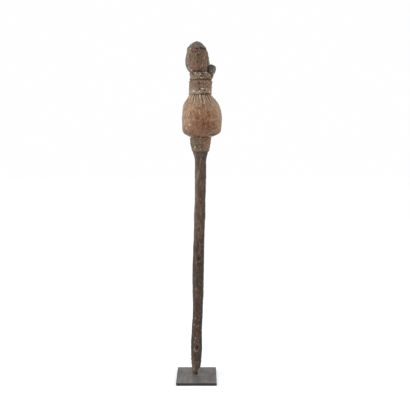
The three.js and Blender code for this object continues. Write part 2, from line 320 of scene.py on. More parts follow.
def at(line, z, what):
    return float(np.interp(z, line.z, getattr(line, what)))


# %% [markdown]
# ## From a lathe blank to a fine skin
#
# The quickest clean mesh for a round thing is a lathe blank: an outline spun round an axis. The
# blank is bent along the middle line, each vertex goes to the nearest point of the solid, and a
# Subdivision Surface makes it fine and smooth. It is quads nearly everywhere, so that carving
# leaves no creases of its own. Copying the solid's triangles would be quicker, but they are
# long and thin, and would show through the carving.

# %% Blank, wrap and subdivide
Place = namedtuple("Place", "turn height radius across")
SHIFT = Vector((17.3, 5.1, 9.7))
FRONT = -math.pi / 2


def evenly(outline, gap):
    """Points a gap apart, in millimetres, along an outline of (radius, z)."""
    points = np.array(outline, float)
    steps = np.hypot(*np.diff(points, axis=0).T)
    along = np.concatenate([[0], np.cumsum(steps)])
    wanted = np.linspace(0, along[-1], max(2, round(along[-1] / (gap * MM)) + 1))
    return [(float(np.interp(s, along, points[:, 0])), float(np.interp(s, along, points[:, 1]))) for s in wanted]


def lathe(outline, sides, closed=False, start=FRONT):
    """Spins an outline of (radius, z) points round the Z axis."""
    bm = bmesh.new()
    spot = [bm.verts.new((r * math.cos(start), r * math.sin(start), z)) for r, z in outline]
    edges = [bm.edges.new(pair) for pair in zip(spot, spot[1:] + spot[:1] * closed)]
    bmesh.ops.spin(
        bm, geom=spot + edges, cent=(0, 0, 0), axis=(0, 0, 1),
        angle=2 * math.pi, steps=sides, use_merge=True, use_duplicate=False,
    )
    bmesh.ops.remove_doubles(bm, verts=bm.verts[:], dist=0.001 * MM)
    bmesh.ops.recalc_face_normals(bm, faces=bm.faces[:])
    return bm


def bend(bm, line):
    for v in bm.verts:
        v.co.x += at(line, v.co.z, "x")
        v.co.y += at(line, v.co.z, "y")


def wrap(bm, surface):
    for v in bm.verts:
        v.co = surface.find_nearest(v.co)[0]


def refine(bm, times):
    """The same mesh after a Subdivision Surface."""
    mesh = bpy.data.meshes.new("cage")
    bm.to_mesh(mesh)
    cage = bpy.data.objects.new("cage", mesh)
    bpy.context.scene.collection.objects.link(cage)
    smooth = cage.modifiers.new("smooth", "SUBSURF")
    smooth.levels = smooth.render_levels = times
    bm.clear()
    bm.from_object(cage, bpy.context.evaluated_depsgraph_get())
    bpy.data.objects.remove(cage)
    bpy.data.meshes.remove(mesh)
    return bm


# %% [markdown]
# ## Carving tools
#
# A tool is a function that says, for one place on the skin, how far to push it out and what to
# paint there. Places are told as a carver would: the turn from the front in radians, positive to
# the right, the height above the plate, and the radius. Noise gives lumps and grain, and a bell
# curve gives dents, rims and spots. What is painted goes into attributes that the finishes read.

# %% Carve and paint


def turned(angle, from_angle):
    """How far one angle lies from another, the short way round."""
    return math.remainder(angle - from_angle, 2 * math.pi)


def bell(distance, width):
    return math.exp(-((distance / width) ** 2))


def ramp(value, low, high):
    """0 below low, 1 above high and a smooth climb between."""
    t = min(1.0, max(0.0, (value - low) / (high - low)))
    return t * t * (3 - 2 * t)


def spot(place, size, stretch, seed):
    """The place in a field of noise whose unit is size millimetres, and stretch times that upwards."""
    x, y = place.across
    return Vector((x, y, place.height / stretch)) / size + seed * SHIFT


def lumps(place, size, stretch=1.0, seed=0, octaves=1):
    """Smooth noise, about -1 to 1, with lumps of one size in millimetres."""
    return 1.3 * noise.fractal(spot(place, size, stretch, seed), 1.0, 2.0, octaves)


def veins(place, size, stretch=1.0, seed=0):
    """Thin winding ridges, 1 on their crest and 0 between them."""
    return max(0.0, 1 - 4.5 * abs(noise.noise(spot(place, size, stretch, seed))))


def crazed(place, size, stretch=1.0, seed=0):
    """0 on the cracks between crumbs of one size, up to 1 in the middle of a crumb."""
    near = noise.voronoi(spot(place, size, stretch, seed))[0]
    return min(1.0, 1.6 * (near[1] - near[0]))


def marked(marks, place, seed=None):
    """How strongly placed marks are felt, from 0 to 1. With a seed their edges are ragged.

    Each mark is (height, turn, half width across, half height, strength).
    """
    best = 0.0
    for height, turn, wide, tall, strength in marks:
        up = (place.height - height) / tall
        if abs(up) < 2.5:
            over = turned(place.turn, turn) * place.radius / wide
            best = max(best, strength * math.exp(-(up * up + over * over)))
    if seed is not None and best > 0.02:
        best *= 1 + 0.8 * lumps(place, 1.7, seed=seed, octaves=2)
    return min(1.0, max(0.0, best))


def between(value, start, end, soft):
    """1 from start to end, with soft shoulders."""
    return ramp(value, start - soft, start + soft) * (1 - ramp(value, end - soft, end + soft))


def shaded(value):
    return max(0.0, min(1.0, value))


def carve(bm, line, tool):
    """Moves each vertex as the tool says, and paints what it returns.

    The tool gives a push along the normal and a lift along Z, both in millimetres, and the paint.
    """
    bm.normal_update()
    told = []
    for v in bm.verts:
        x = (v.co.x - at(line, v.co.z, "x")) / MM
        y = (v.co.y - at(line, v.co.z, "y")) / MM
        turn = turned(math.atan2(y, x), FRONT)
        told.append(tool(Place(turn, (v.co.z - PLATE_TOP) / MM, math.hypot(x, y), (x, y))))
    layers = {name: bm.verts.layers.float.new(name) for name in told[0][-1]}
    for v, (push, lift, paint) in zip(bm.verts, told):
        v.co += v.normal * push * MM
        v.co.z += lift * MM
        for name, value in paint.items():
            v[layers[name]] = value
    return bm


def keep(bm, name, node, material):
    """Turns a carved skin into the piece that stands for a solid."""
    mesh = bpy.data.meshes.new(name)
    bmesh.ops.recalc_face_normals(bm, faces=bm.faces[:])
    bm.to_mesh(mesh)
    bm.free()
    mesh.shade_smooth()
    mesh.materials.append(material)
    piece = bpy.data.objects.new(name, mesh)
    bpy.context.scene.collection.objects.link(piece)
    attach(piece, "root")
    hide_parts(node)
    triangles = sum(len(p.vertices) - 2 for p in mesh.polygons)
    print(f"{name}: {triangles} triangles")
    return piece


# %% [markdown]
# ## The steel plate
#
# The stand is a square of blackened steel, cut from sheet, with its edges eased by a file. It
# could be a plain box with a shader, but a real edge catches the light in a narrow line, so the
# box gets a true rounded bevel. The top was rubbed from front to back, which leaves faint
# streaks. The top is painted a lighter grey than the sides, as a painted reflection of the
# white room, and the sides are painted near black, as painted shade.

# %% Plate shape
PLATE_EASE = 0.7


def plate_mesh():
    low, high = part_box("base_plate")
    bm = bmesh.new()
    bmesh.ops.create_cube(bm, size=1.0)
    bmesh.ops.scale(bm, vec=high - low, verts=bm.verts[:])
    bmesh.ops.translate(bm, vec=(low + high) / 2, verts=bm.verts[:])
    bmesh.ops.bevel(
        bm, geom=bm.edges[:], offset=PLATE_EASE * MM, offset_type="OFFSET",
        segments=3, profile=0.5, affect="EDGES", material=-1,
    )
    return bm


# %% Plate finish
def blackened_steel():
    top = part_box("base_plate")[1].z
    steel = Finish("blackened_steel", roughness=0.35, metallic=0.55, specular_ior_level=0.5)
    streaks = steel.noise(1.3, stretch=(1, 45, 1), detail=4)
    clouds = steel.noise(20, detail=4, rough=0.6)
    base = steel.mix(steel.band(streaks, 0.3, 0.7), colour("8e8783"), colour("aca5a0"))
    base = steel.over(base, clouds, 0.35, 0.72, "6e6765", 0.7)
    base = steel.over(base, steel.noise(2.2, detail=3, shift=(3, 7, 1)), 0.54, 0.7, "56514e", 0.85)
    base = steel.over(base, steel.noise(1.2, detail=2, shift=(9, 2, 5)), 0.6, 0.74, "b9b5b2", 0.7)
    z = steel.node("ShaderNodeSeparateXYZ", {"Vector": steel.here}).outputs["Z"]
    # Painted shade: the sides are painted near black, and the top keeps a lighter grey as a painted reflection of the
    # white room.
    rim = steel.mix(steel.noise(1.6, detail=3), colour("1c1a19"), colour("3d3937"))
    base = steel.mix(steel.band(z, top - 1.1 * MM, top - 0.2 * MM), rim, base)
    steel.colour(base)
    steel.roughness(steel.band(clouds, 0.2, 0.8, 0.26, 0.42))
    steel.bump((streaks, 0.05), (steel.noise(0.7, detail=2), 0.03))
    return steel.material


stand = keep(plate_mesh(), "steel_plate", "base_plate", blackened_steel())

# %% [markdown]
# ## The pin
#
# A short steel pin rises from the plate into the staff's foot and holds it up. Only a sliver of
# it shows, in the gap where the foot is broken away. It is a lathe job: a straight rod with a
# tapered tip, with its corners eased by a bevel.

# %% Pin
PIN_TIP = 1.2


def pin_mesh():
    low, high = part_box("mounting_pin")
    radius = (high.x - low.x) / 2
    tip = (radius - PIN_TIP * MM, high.z)
    outline = [(0, low.z), (radius, low.z), (radius, high.z - PIN_TIP * MM), tip, (0, high.z)]
    bm = lathe(outline, 32)
    corners = [e for e in bm.edges if len(e.link_faces) == 2 and e.calc_face_angle() > 0.5]
    bmesh.ops.bevel(
        bm, geom=corners, offset=0.25 * MM, offset_type="OFFSET",
        segments=2, profile=0.5, affect="EDGES", material=-1,
    )
    bmesh.ops.translate(bm, vec=((low.x + high.x) / 2, (low.y + high.y) / 2, 0), verts=bm.verts[:])
    return bm


def pin_steel():
    steel = Finish("pin_steel", roughness=0.45, metallic=0.7)
    rings = steel.noise(0.5, stretch=(30, 30, 1), detail=2)
    steel.colour(steel.mix(rings, colour("2e2b2a"), colour("4b4643")))
    steel.bump((rings, 0.04))
    return steel.material


pin = keep(pin_mesh(), "steel_pin", "mounting_pin", pin_steel())

# %% [markdown]
# ## The hewn shaft
#
# The shaft is a branch that was stripped and pared with a small adze, then handled for years. It
# shows long fibres, shallow scoops, healed knots, a few drying cracks and darker wood lower
# down. The blank follows the solid from the broken foot, whose right side has split away, to
# the flare under the collar. The grain is noise stretched along the stick. Big marks that the
# eye knows, such as the eye-shaped knot and the pale scar near the foot, are placed one by one.

# %% Shaft blank
SHAFT_SIDES = 48
SHAFT_GAP = 4.6
FOOT_SLANT = 26.0
FOOT_SURE = 24.0


def foot_height(surface, x, y):
    """Where the broken underside of the foot lies above one point."""
    hit = surface.ray_cast(Vector((x, y, 0)), Vector((0, 0, 1)))[0]
    return hit.z if hit else PLATE_TOP


def shaft_skin():
    surface = surface_of("shaft")
    low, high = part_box("shaft")
    bottom = low.z
    line = line_of(surface, PLATE_TOP + FOOT_SURE * MM, high.z - 0.5 * MM)
    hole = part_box("mounting_pin")
    bore = (hole[1].x - hole[0].x) / 2 + 0.3 * MM
    side = [(at(line, z, "radius"), z) for z in np.linspace(bottom, high.z, 160)]
    side = [(r * (0.84 + 0.16 * ramp(z, bottom, bottom + 20 * MM)), z) for r, z in side]
    hollow = [(0, hole[1].z + 0.3 * MM), (bore, hole[1].z + 0.3 * MM), (bore, bottom)]
    outline = evenly(hollow, SHAFT_GAP)[:-1] + evenly([(bore, bottom), side[0]], SHAFT_GAP)[:-1]
    outline += evenly(side + [(0, high.z)], SHAFT_GAP)
    bm = lathe(outline, SHAFT_SIDES)
    foot_x, foot_y = at(line, bottom, "x"), at(line, bottom, "y")
    pin_x, pin_y = (hole[0].x + hole[1].x) / 2, (hole[0].y + hole[1].y) / 2
    for v in bm.verts:
        inner = ramp(math.hypot(v.co.x, v.co.y), bore * 1.05, bore * 1.6)
        in_hole = (1 - inner) * (v.co.z < hole[1].z + 1 * MM)
        v.co.x += pin_x * in_hole + at(line, v.co.z, "x") * (1 - in_hole)
        v.co.y += pin_y * in_hole + at(line, v.co.z, "y") * (1 - in_hole)
        if v.co.z < bottom + FOOT_SLANT * MM:
            near = 0.93
            x = foot_x + (v.co.x - foot_x) * near
            y = foot_y + (v.co.y - foot_y) * near
            lift = foot_height(surface, x, y) - bottom
            if lift < FOOT_SLANT * MM * 0.9:
                v.co.z += lift * (1 - (v.co.z - bottom) / (FOOT_SLANT * MM))
    wrap(bm, surface)
    return refine(bm, 2), line


# %% Marks in the wood
KNOTS = [
    (242.4, 0.09, 2.4, 3.2, 1.0),
    (61.0, 0.14, 1.9, 4.4, 0.9),
    (350.8, 0.26, 3.0, 1.3, 0.9),
    (425.5, 0.18, 1.6, 2.2, 0.8),
    (432.1, 1.02, 2.0, 1.8, 0.8),
    (438.1, 0.42, 1.6, 1.6, 0.7),
    (149.2, 0.22, 1.5, 3.0, 0.6),
    (32.0, 0.25, 3.6, 1.6, 0.7),
    (118.0, 2.6, 3.2, 4.0, 0.8),
    (301.0, -2.8, 2.8, 3.6, 0.9),
    (176.0, -1.7, 2.6, 3.4, 0.7),
]
RIMS = [(242.4, 0.09, 4.6, 8.0, 0.6), (60.0, 0.10, 4.4, 8.6, 0.7), (301.0, -2.8, 6.0, 9.0, 0.5)]
PALE_WOOD = [
    (253.3, 0.07, 2.2, 2.2, 0.8),
    (249.1, -1.1, 2.0, 3.0, 0.7),
    (235.0, 0.11, 2.8, 1.6, 0.7),
    (320.0, 0.42, 1.6, 1.4, 0.5),
    (200.9, -0.57, 1.6, 3.6, 0.7),
    (179.8, -0.38, 1.6, 4.5, 0.8),
    (165.6, -0.19, 2.6, 3.4, 0.6),
    (119.1, -0.43, 2.0, 1.8, 0.8),
    (116.5, 0.30, 2.0, 1.5, 0.7),
    (106.4, -0.62, 2.2, 3.0, 0.9),
    (101.8, -0.11, 2.4, 1.6, 0.8),
    (104.5, 0.30, 1.5, 2.6, 0.6),
    (79.4, -0.16, 3.2, 1.6, 0.9),
    (73.6, 0.22, 2.4, 1.6, 0.7),
    (70.0, -0.45, 2.0, 2.4, 0.8),
    (52.6, -0.22, 2.4, 2.2, 1.0),
    (56.6, -0.40, 1.5, 3.0, 1.0),
    (28.9, 0.34, 2.6, 2.2, 0.6),
    (12.0, -0.62, 3.2, 5.0, 0.9),
    (8.0, -0.30, 2.6, 3.0, 0.8),
    (210.0, 2.3, 2.4, 6.0, 0.7),
    (90.0, -2.4, 3.0, 5.0, 0.7),
    (330.0, 2.9, 2.2, 9.0, 0.6),
]
CRACKS = 30
CRACK_SEED = 7


def new_cracks():
    """Drying cracks: (turn, middle height, half length, width, depth), scattered over the shaft."""
    pick = random.Random(CRACK_SEED)
    return [
        (pick.uniform(-math.pi, math.pi), pick.uniform(20, 430), pick.uniform(9, 42),
         pick.uniform(0.3, 0.6), pick.uniform(0.3, 0.8))
        for _ in range(CRACKS)
    ]


def rimmed(place):
    """Ridges that run round the large knots, where the wood grew over them."""
    best = 0.0
    for height, turn, wide, tall, proud in RIMS:
        up = (place.height - height) / tall
        if abs(up) < 2:
            over = turned(place.turn, turn) * place.radius / wide
            best = max(best, proud * bell(math.hypot(up, over) - 1, 0.26))
    return best


def cracked(cracks, place):
    best = 0.0
    for turn, middle, half, width, depth in cracks:
        up = abs(place.height - middle) / half
        if up < 1:
            sway = 0.08 * math.sin(place.height / 9 + turn * 5)
            over = turned(place.turn, turn + sway) * place.radius
            best = max(best, depth * (1 - up * up) * bell(over, width))
    return best


# %% Shaft carving
def hewn(cracks):
    def tool(place):
        shown = 1 - ramp(place.height, 447, 452)
        fibre = lumps(place, 0.75, stretch=34, seed=1, octaves=2)
        strand = lumps(place, 2.2, stretch=13, seed=2)
        scoop = lumps(place, 7, stretch=2.0, seed=3)
        chips = lumps(place, 3.4, stretch=2.2, seed=4)
        caked = ramp(place.height, 418, 444) + bell(place.height - 108, 13) + 0.35 * (1 - ramp(place.height, 90, 200))
        crumbs = min(1.0, caked) * (crazed(place, 2.8, stretch=1.3, seed=5) - 0.55)
        knots = marked(KNOTS, place)
        rims = rimmed(place)
        crack = cracked(cracks, place)
        pale = marked(PALE_WOOD, place, seed=6)
        squiggles = veins(place, 5.0, stretch=1.3, seed=8) * between(place.height, 24, 128, 8)
        slant = math.sin(place.height * 0.75 - place.turn * 3.4 + 1.1)
        grooves = 0.4 * bell(place.height - 36, 14) * max(0.0, slant)
        push = 0.12 * fibre + 0.26 * strand + 0.34 * scoop + 0.2 * chips + 0.5 * crumbs
        stump = 2.2 * bell(place.height - 11, 9) * bell(turned(place.turn, 1.1), 0.8)
        push += rims - knots - crack - grooves + 0.3 * pale + 0.3 * squiggles
        push += stump * ramp(place.radius, 5.5, 8)
        # Painted shade: cracks, grooves, sunken grain and the cracks between crumbs are painted darker, and raised
        # rims lighter; the knots are dark wood.
        shade = knots + 1.3 * crack + 0.8 * grooves - 0.6 * rims - 0.5 * crumbs
        shade -= 0.28 * strand + 0.22 * fibre + 0.25 * chips
        seated = 0.25 * ramp(place.height, 477.0, 477.9)
        # Painted shade: the right side of the shaft, away from the left light, is painted darker.
        shaded_right_side = between(place.turn + 0.1 * lumps(place, 12, stretch=3, seed=7), 0.5, 2.4, 0.28)
        paint = {"dark_marks_and_shade": shaded(shade), "pale": max(0.8 * pale, 0.5 * rims, 0.35 * squiggles), "shaded_right_side": shaded_right_side}
        return shown * push, seated, paint

    return tool


# %% Shaft finish
def old_wood():
    wood = Finish("old_wood", roughness=0.7, specular_ior_level=0.3, sheen_weight=0.08)
    fibre = wood.noise(0.8, stretch=(1, 1, 30), detail=3)
    streak = wood.noise(3.0, stretch=(1, 1, 8), detail=4, rough=0.6)
    patch = wood.noise(8, stretch=(1, 1, 3.5), detail=3, shift=(4, 0, 2))
    mottle = wood.noise(2.8, stretch=(1, 1, 1.8), detail=4, rough=0.65, shift=(6, 2, 8))
    base = wood.mix(wood.band(patch, 0.38, 0.62), colour("563d2e"), colour("69503e"))
    base = wood.over(base, streak, 0.5, 0.3, "3a2b23", 0.75)
    base = wood.over(base, wood.noise(4.5, stretch=(1, 1, 5), detail=4, shift=(9, 3, 1)), 0.5, 0.72, "8c7d71", 0.8)
    base = wood.over(base, wood.height(345, 215), 0.0, 1.0, "301b0c", 0.66)
    olive = wood.math("MULTIPLY", wood.height(222, 208), wood.height(176, 190))
    base = wood.over(base, olive, 0.0, 1.0, "3f382c", 0.55)
    red = wood.math("MULTIPLY", wood.height(186, 176), wood.height(144, 156))
    base = wood.over(base, red, 0.0, 1.0, "5a3c30", 0.45)
    base = wood.over(base, wood.height(415, 440), 0.0, 1.0, "46352b", 0.35)
    base = wood.over(base, wood.height(48, 12), 0.0, 1.0, "8f7a5e", 0.5)
    # Painted shade on the right side of the shaft.
    base = wood.over(base, wood.painted("shaded_right_side"), 0.0, 1.0, "1f150f", 0.68)
    base = wood.over(base, fibre, 0.62, 0.36, "2a1f19", 0.3)
    base = wood.over(base, mottle, 0.46, 0.33, "271c14", 0.75)
    base = wood.over(base, mottle, 0.55, 0.7, "8a7566", 0.6)
    # Painted shade in cracks and hollows, and the dark of the knots.
    base = wood.over(base, wood.painted("dark_marks_and_shade"), 0.05, 0.8, "1f1611", 0.92)
    base = wood.over(base, wood.painted("pale"), 0.1, 0.95, "a08b7a", 0.8)
    wood.colour(base)
    wood.roughness(wood.band(streak, 0.3, 0.7, 0.6, 0.86))
    wood.bump((wood.noise(0.45, stretch=(1, 1, 18), detail=3), 0.12), (mottle, 0.25), (wood.noise(0.9, detail=3), 0.1))
    return wood.material


shaft_bm, shaft_line = shaft_skin()
carve(shaft_bm, shaft_line, hewn(new_cracks()))
shaft = keep(shaft_bm, "hewn_shaft", "shaft", old_wood())

# %% [markdown]
# ## Sleeves: the collar, the binding and the ring
#
# Three parts are sleeves that go all the way round: the caked wrapping under the bundle, the
# cloth on its neck and the crust under the head. Each is spun from a closed outline, up its
# outside and down its bore, so that it has a real thickness and both its rims are rounded.

# %% Sleeve blank
SLEEVE_GAP = 2.2
SLEEVE_SIDES = 64
RIM_EASE = 0.8


def sleeve_skin(node, trim=0.6, rim=RIM_EASE, gap=SLEEVE_GAP, sides=SLEEVE_SIDES):
    surface = surface_of(node)
    low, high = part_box(node)
    foot, top = low.z + trim * MM, high.z - 0.05 * MM
    line = line_of(surface, foot + 1 * MM, top - 0.5 * MM, step=2.0)
    middle = Vector((at(line, (foot + top) / 2, "x"), at(line, (foot + top) / 2, "y"), (foot + top) / 2))
    bore = surface.ray_cast(middle, Vector((0, -1, 0)))[3]
    ease = rim * MM
    outside = [(at(line, z, "radius"), z) for z in np.linspace(foot + ease, top - ease, 12)]
    outside = [(outside[0][0] - ease, foot)] + outside + [(outside[-1][0] - ease, top)]
    outline = evenly(outside + [(bore, top), (bore, foot), outside[0]], gap)[:-1]
    bm = lathe(outline, sides, closed=True)
    bend(bm, line)
    wrap(bm, surface)
    return refine(bm, 2), line


# %% [markdown]
# ## The caked collar
#
# Under the bundle the top of the stick is wrapped and caked with a grey crust. It is smoother at
# the top left, cracked elsewhere, and its lower edge is ragged. A pale chip clings to its left
# side. The cracks come from cell noise: each cell is a crumb, and the borders are the cracks.

# %% Collar
PALE_CHIPS = [(458.8, -0.60, 1.5, 3.4, 1.0), (454.6, -0.74, 1.0, 2.6, 0.9)]
RED_MUD = [(468.7, 0.83, 3.4, 3.6, 0.9), (461.0, 0.7, 3.0, 3.0, 0.5), (466.0, -2.3, 4.0, 4.0, 0.6)]
# Dark mud, and painted shadow lines: near the top, under the bundle's edge, and along the lower rim.
DARK_MUD_AND_SHADOW = [
    (466.0, -1.35, 2.6, 4.5, 0.9),
    (470.0, 0.35, 2.4, 1.6, 0.5),
    (473.4, 0.55, 3.4, 1.2, 0.8),
    (473.6, -0.10, 4.0, 1.0, 0.7),
    (474.0, -0.60, 4.0, 0.8, 0.5),
    (459.0, 0.05, 3.0, 3.6, 0.4),
    (450.0, -0.25, 2.0, 2.4, 0.6),
    (449.5, 1.05, 2.4, 2.6, 0.8),
]


def caked(place):
    foot = 448.5
    crumbs = crazed(place, 4.0, stretch=1.5, seed=11) - 0.5
    fibres = lumps(place, 1.6, stretch=3.0, seed=12, octaves=3)
    broad = lumps(place, 6, stretch=1.4, seed=13)
    calm = bell(place.turn + 0.5, 0.6) * ramp(place.height, 460, 466)
    rough = 1 - 0.6 * calm
    rag = (1 - ramp(place.height, foot + 0.4, foot + 1.6)) * lumps(place, 4.5, seed=14, octaves=2)
    chips = marked(PALE_CHIPS, place)
    dark = marked(DARK_MUD_AND_SHADOW, place, seed=15)
    outer = ramp(place.radius, 15.9, 16.6)
    top = ramp(place.height, 477.2, 477.9)
    push = outer * (rough * (0.6 * crumbs + 0.4 * fibres) + 0.45 * broad + 0.6 * chips - 0.35 * dark)
    lift = 0.22 * top - 1.3 * outer * rag
    # Painted shade: the cracks between crumbs are painted darker, and the dark mud and the painted shadow lines are
    # added.
    shade = rough * (-0.8 * crumbs - 0.4 * fibres) - 0.2 * broad + 0.9 * dark
    warm = between(place.turn, 0.15, 1.8, 0.3) * ramp(place.height, 455, 462)
    red = max(marked(RED_MUD, place, seed=16), 0.35 * warm)
    grey = between(place.turn + 0.1 * lumps(place, 6, seed=17), -2.2, -0.15, 0.25)
    paint = {"dark_marks_and_shade": shaded(shade), "pale": chips, "stain": red, "grey": grey}
    return push * (1 - top), lift, paint


def dried_mud():
    mud = Finish("dried_mud", roughness=0.95, specular_ior_level=0.2, sheen_weight=0.08)
    patch = mud.noise(5, stretch=(1, 1, 1.6), detail=4, rough=0.6)
    mottle = mud.noise(2.4, stretch=(1, 1, 1.8), detail=4, rough=0.65, shift=(5, 1, 2))
    grains = mud.noise(0.9, detail=3, shift=(1, 8, 3))
    base = mud.mix(mud.band(patch, 0.35, 0.65), colour("695444"), colour("907964"))
    base = mud.over(base, grains, 0.65, 0.35, "4b3a2b", 0.5)
    base = mud.over(base, mottle, 0.44, 0.3, "382a20", 0.75)
    base = mud.over(base, mottle, 0.57, 0.7, "bea692", 0.7)
    base = mud.over(base, mud.painted("grey"), 0.0, 1.0, "54463a", 0.45)
    base = mud.over(base, mud.painted("stain"), 0.1, 0.8, "a2654c", 0.6)
    # Painted shade in the cracks and shadow lines, and the dark mud.
    base = mud.over(base, mud.painted("dark_marks_and_shade"), 0.1, 0.9, "2e2219", 0.9)
    base = mud.over(base, mud.painted("pale"), 0.3, 0.8, "ad9f8d")
    mud.colour(base)
    mud.bump((mud.noise(1.8, stretch=(1, 1, 1.6), detail=5, rough=0.65), 0.35), (grains, 0.2))
    return mud.material


collar_bm, collar_line = sleeve_skin("collar", trim=1.6)
carve(collar_bm, collar_line, caked)
collar = keep(collar_bm, "caked_collar", "collar", dried_mud())

# %% [markdown]
# ## The hide bundle
#
# The bundle is a round of hide gathered up over its stuffing and tied at the neck. The string
# draws it into pleats that are deep and narrow at the tie and die out down the shoulder. Cloth
# simulation could make them, but a carver can also cut each pleat as a valley of its own, with
# its own depth and length, which gives control over the ones in front. The cage has one vertex
# where each regular pleat of the solid crosses its mean radius, so the solid's pleats drop out
# and the new ones replace them.

# %% Bundle blank
SOLID_PLEATS = 24
BUNDLE_GAP = 5.0
TIE = 558.6


def bundle_skin():
    surface = surface_of("bundle")
    low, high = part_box("bundle")
    tie = PLATE_TOP + TIE * MM
    body = line_of(surface, low.z + 0.3 * MM, tie - 0.3 * MM, step=1.5)
    neck = slice_of(surface, Vector((at(body, tie, "x"), at(body, tie, "y"), 0)), tie + 5 * MM)[1]
    side = [(at(body, z, "radius"), z) for z in np.linspace(low.z, tie, 80)]
    outline = evenly([(0, low.z)] + side, BUNDLE_GAP)
    outline += evenly([(neck, tie + 0.5 * MM), (neck, high.z), (0, high.z)], BUNDLE_GAP)
    bm = lathe(outline, 2 * SOLID_PLEATS, start=FRONT + math.pi / SOLID_PLEATS / 2)
    line = line_of(surface, low.z + 0.3 * MM, high.z - 0.3 * MM, step=1.5)
    bend(bm, line)
    wrap(bm, surface)
    return refine(bm, 3), line


# %% Pleats
# The valleys in front as (turn, width in radians, depth, height of the lower end).
FRONT_PLEATS = [
    (-0.98, 0.055, 1.2, 542),
    (-0.72, 0.045, 1.2, 546),
    (-0.49, 0.045, 1.6, 531),
    (-0.31, 0.040, 1.6, 543),
    (-0.14, 0.040, 1.6, 546),
    (0.12, 0.045, 1.8, 528),
    (0.29, 0.035, 1.3, 546),
    (0.44, 0.045, 2.2, 544),
    (0.60, 0.045, 1.7, 538),
    (0.82, 0.050, 1.3, 545),
    (1.24, 0.085, 3.0, 545),
]
BACK_PLEATS = 21
PLEAT_SEED = 5


def new_pleats():
    """The front pleats as placed, and the rest of the way round at uneven steps."""
    pick = random.Random(PLEAT_SEED)
    first, last = FRONT_PLEATS[-1][0], FRONT_PLEATS[0][0] + 2 * math.pi
    step = (last - first) / (BACK_PLEATS + 1)
    back = [
        (first + step * (i + 1 + pick.uniform(-0.25, 0.25)), pick.uniform(0.04, 0.07),
         pick.uniform(0.9, 2.0), pick.uniform(534, 549))
        for i in range(BACK_PLEATS)
    ]
    return FRONT_PLEATS + back


def pleated(pleats, place):
    """How deep the pleats lie at one place, and how much of a lip stands up beside them.

    They are deepest under the tie and narrow downwards.
    """
    depth = lip = 0.0
    wander = 0.03 * noise.noise(Vector((place.height / 7, 0.3, place.turn * 2)))
    for turn, width, full, end in pleats:
        over = turned(place.turn + wander, turn)
        if abs(over) < 3 * width:
            drawn = ramp(place.height, end, end + 0.5 * (TIE - end))
            faint = 0.16 * between(place.height, 507, end, 6)
            wide = width * (0.6 + 0.6 * drawn)
            depth = max(depth, full * max(drawn, faint) * bell(over, wide))
            lip = max(lip, drawn * bell(abs(over) - 2.1 * wide, wide))
    return depth, lip


# %% Creases and gathers
# Folds that climb to one side: (height at the start, start turn, end turn, rise, depth, half width).
CREASES = [
    (526.6, 0.18, 0.95, 1.0, 0.6, 0.9),
    (482.2, 0.55, 1.16, 3.6, 2.0, 1.3),
    (484.4, 1.12, 1.70, 26, 1.8, 1.2),
    (486.0, 0.25, 0.75, 9, 0.5, 0.8),
    (491.0, 0.35, 0.95, 10, 0.4, 0.8),
    (490.0, 0.78, 1.20, 12, 0.4, 0.8),
    (498.0, -1.20, -0.95, -17, 0.6, 0.9),
    (489.6, -0.72, -0.58, -5, 0.8, 0.9),
    (497.0, 2.00, 3.00, -7, 0.6, 0.9),
    (492.0, -2.90, -2.00, 6, 0.7, 0.9),
    (522.0, -2.60, -1.90, 3, 0.5, 0.9),
    (512.0, 2.20, 2.90, 4, 0.5, 0.9),
]
GATHER_TOP = 494.0


def creased(place):
    depth = 0.0
    for height, start, end, rise, full, wide in CREASES:
        along = (turned(place.turn, start)) / (end - start)
        if -0.2 < along < 1.2:
            sag = height + rise * turned(place.turn, start) + 0.8 * lumps(place, 6, seed=23)
            depth = max(depth, full * between(along, 0.0, 1.0, 0.2) * bell(place.height - sag, wide))
    return depth


def gathered(place):
    """Narrow folds that run up from the collar over the bundle's lower edge, and die out."""
    low = 1 - ramp(place.height, 480, GATHER_TOP)
    if low == 0:
        return 0.0
    around = Vector((7.5 * math.cos(place.turn), 7.5 * math.sin(place.turn), place.height / 22))
    some = ramp(lumps(place, 9, seed=27), -0.2, 0.5)
    return low * some * max(0.0, 1 - 4.5 * abs(noise.noise(around + SHIFT)))


# %% Bundle carving
RED_STAINS = [
    (524.0, 0.33, 3.4, 2.4, 0.9),
    (518.1, 0.36, 3.8, 4.4, 1.0),
    (512.5, 0.36, 2.8, 3.6, 0.8),
    (508.0, 0.24, 5.0, 3.6, 0.8),
    (503.0, 0.11, 6.5, 4.6, 0.9),
    (503.5, 0.30, 5.0, 4.0, 0.9),
    (498.0, 0.33, 4.2, 3.2, 0.9),
    (547.0, 0.60, 1.0, 3.4, 0.9),
    (506.0, -2.6, 6.0, 8.0, 0.8),
]
# Brown stains, and painted shade low at the left and right, where the bundle's lower curve turns under.
BROWN_STAINS_AND_SHADE = [
    (522.6, -0.22, 2.6, 5.0, 0.6),
    (515.5, -0.22, 5.0, 5.0, 0.9),
    (506.0, -0.27, 6.0, 6.0, 0.6),
    (510.0, 0.04, 3.0, 4.0, 0.8),
    (501.5, 0.62, 4.0, 4.0, 0.8),
    (508.1, 0.66, 2.2, 3.0, 0.7),
    (526.0, 0.30, 5.5, 1.4, 0.6),
    (495.0, 0.40, 9.0, 2.4, 0.6),
    (527.0, -0.91, 0.8, 6.0, 0.7),
    (515.8, -0.96, 0.8, 4.0, 0.6),
    (486.0, -1.20, 9.0, 3.6, 0.9),
    (483.5, -0.60, 9.0, 2.6, 0.7),
    (488.0, 1.30, 6.0, 3.0, 0.6),
    (505.0, 2.5, 12.0, 9.0, 0.7),
    (520.0, -2.2, 10.0, 7.0, 0.6),
]
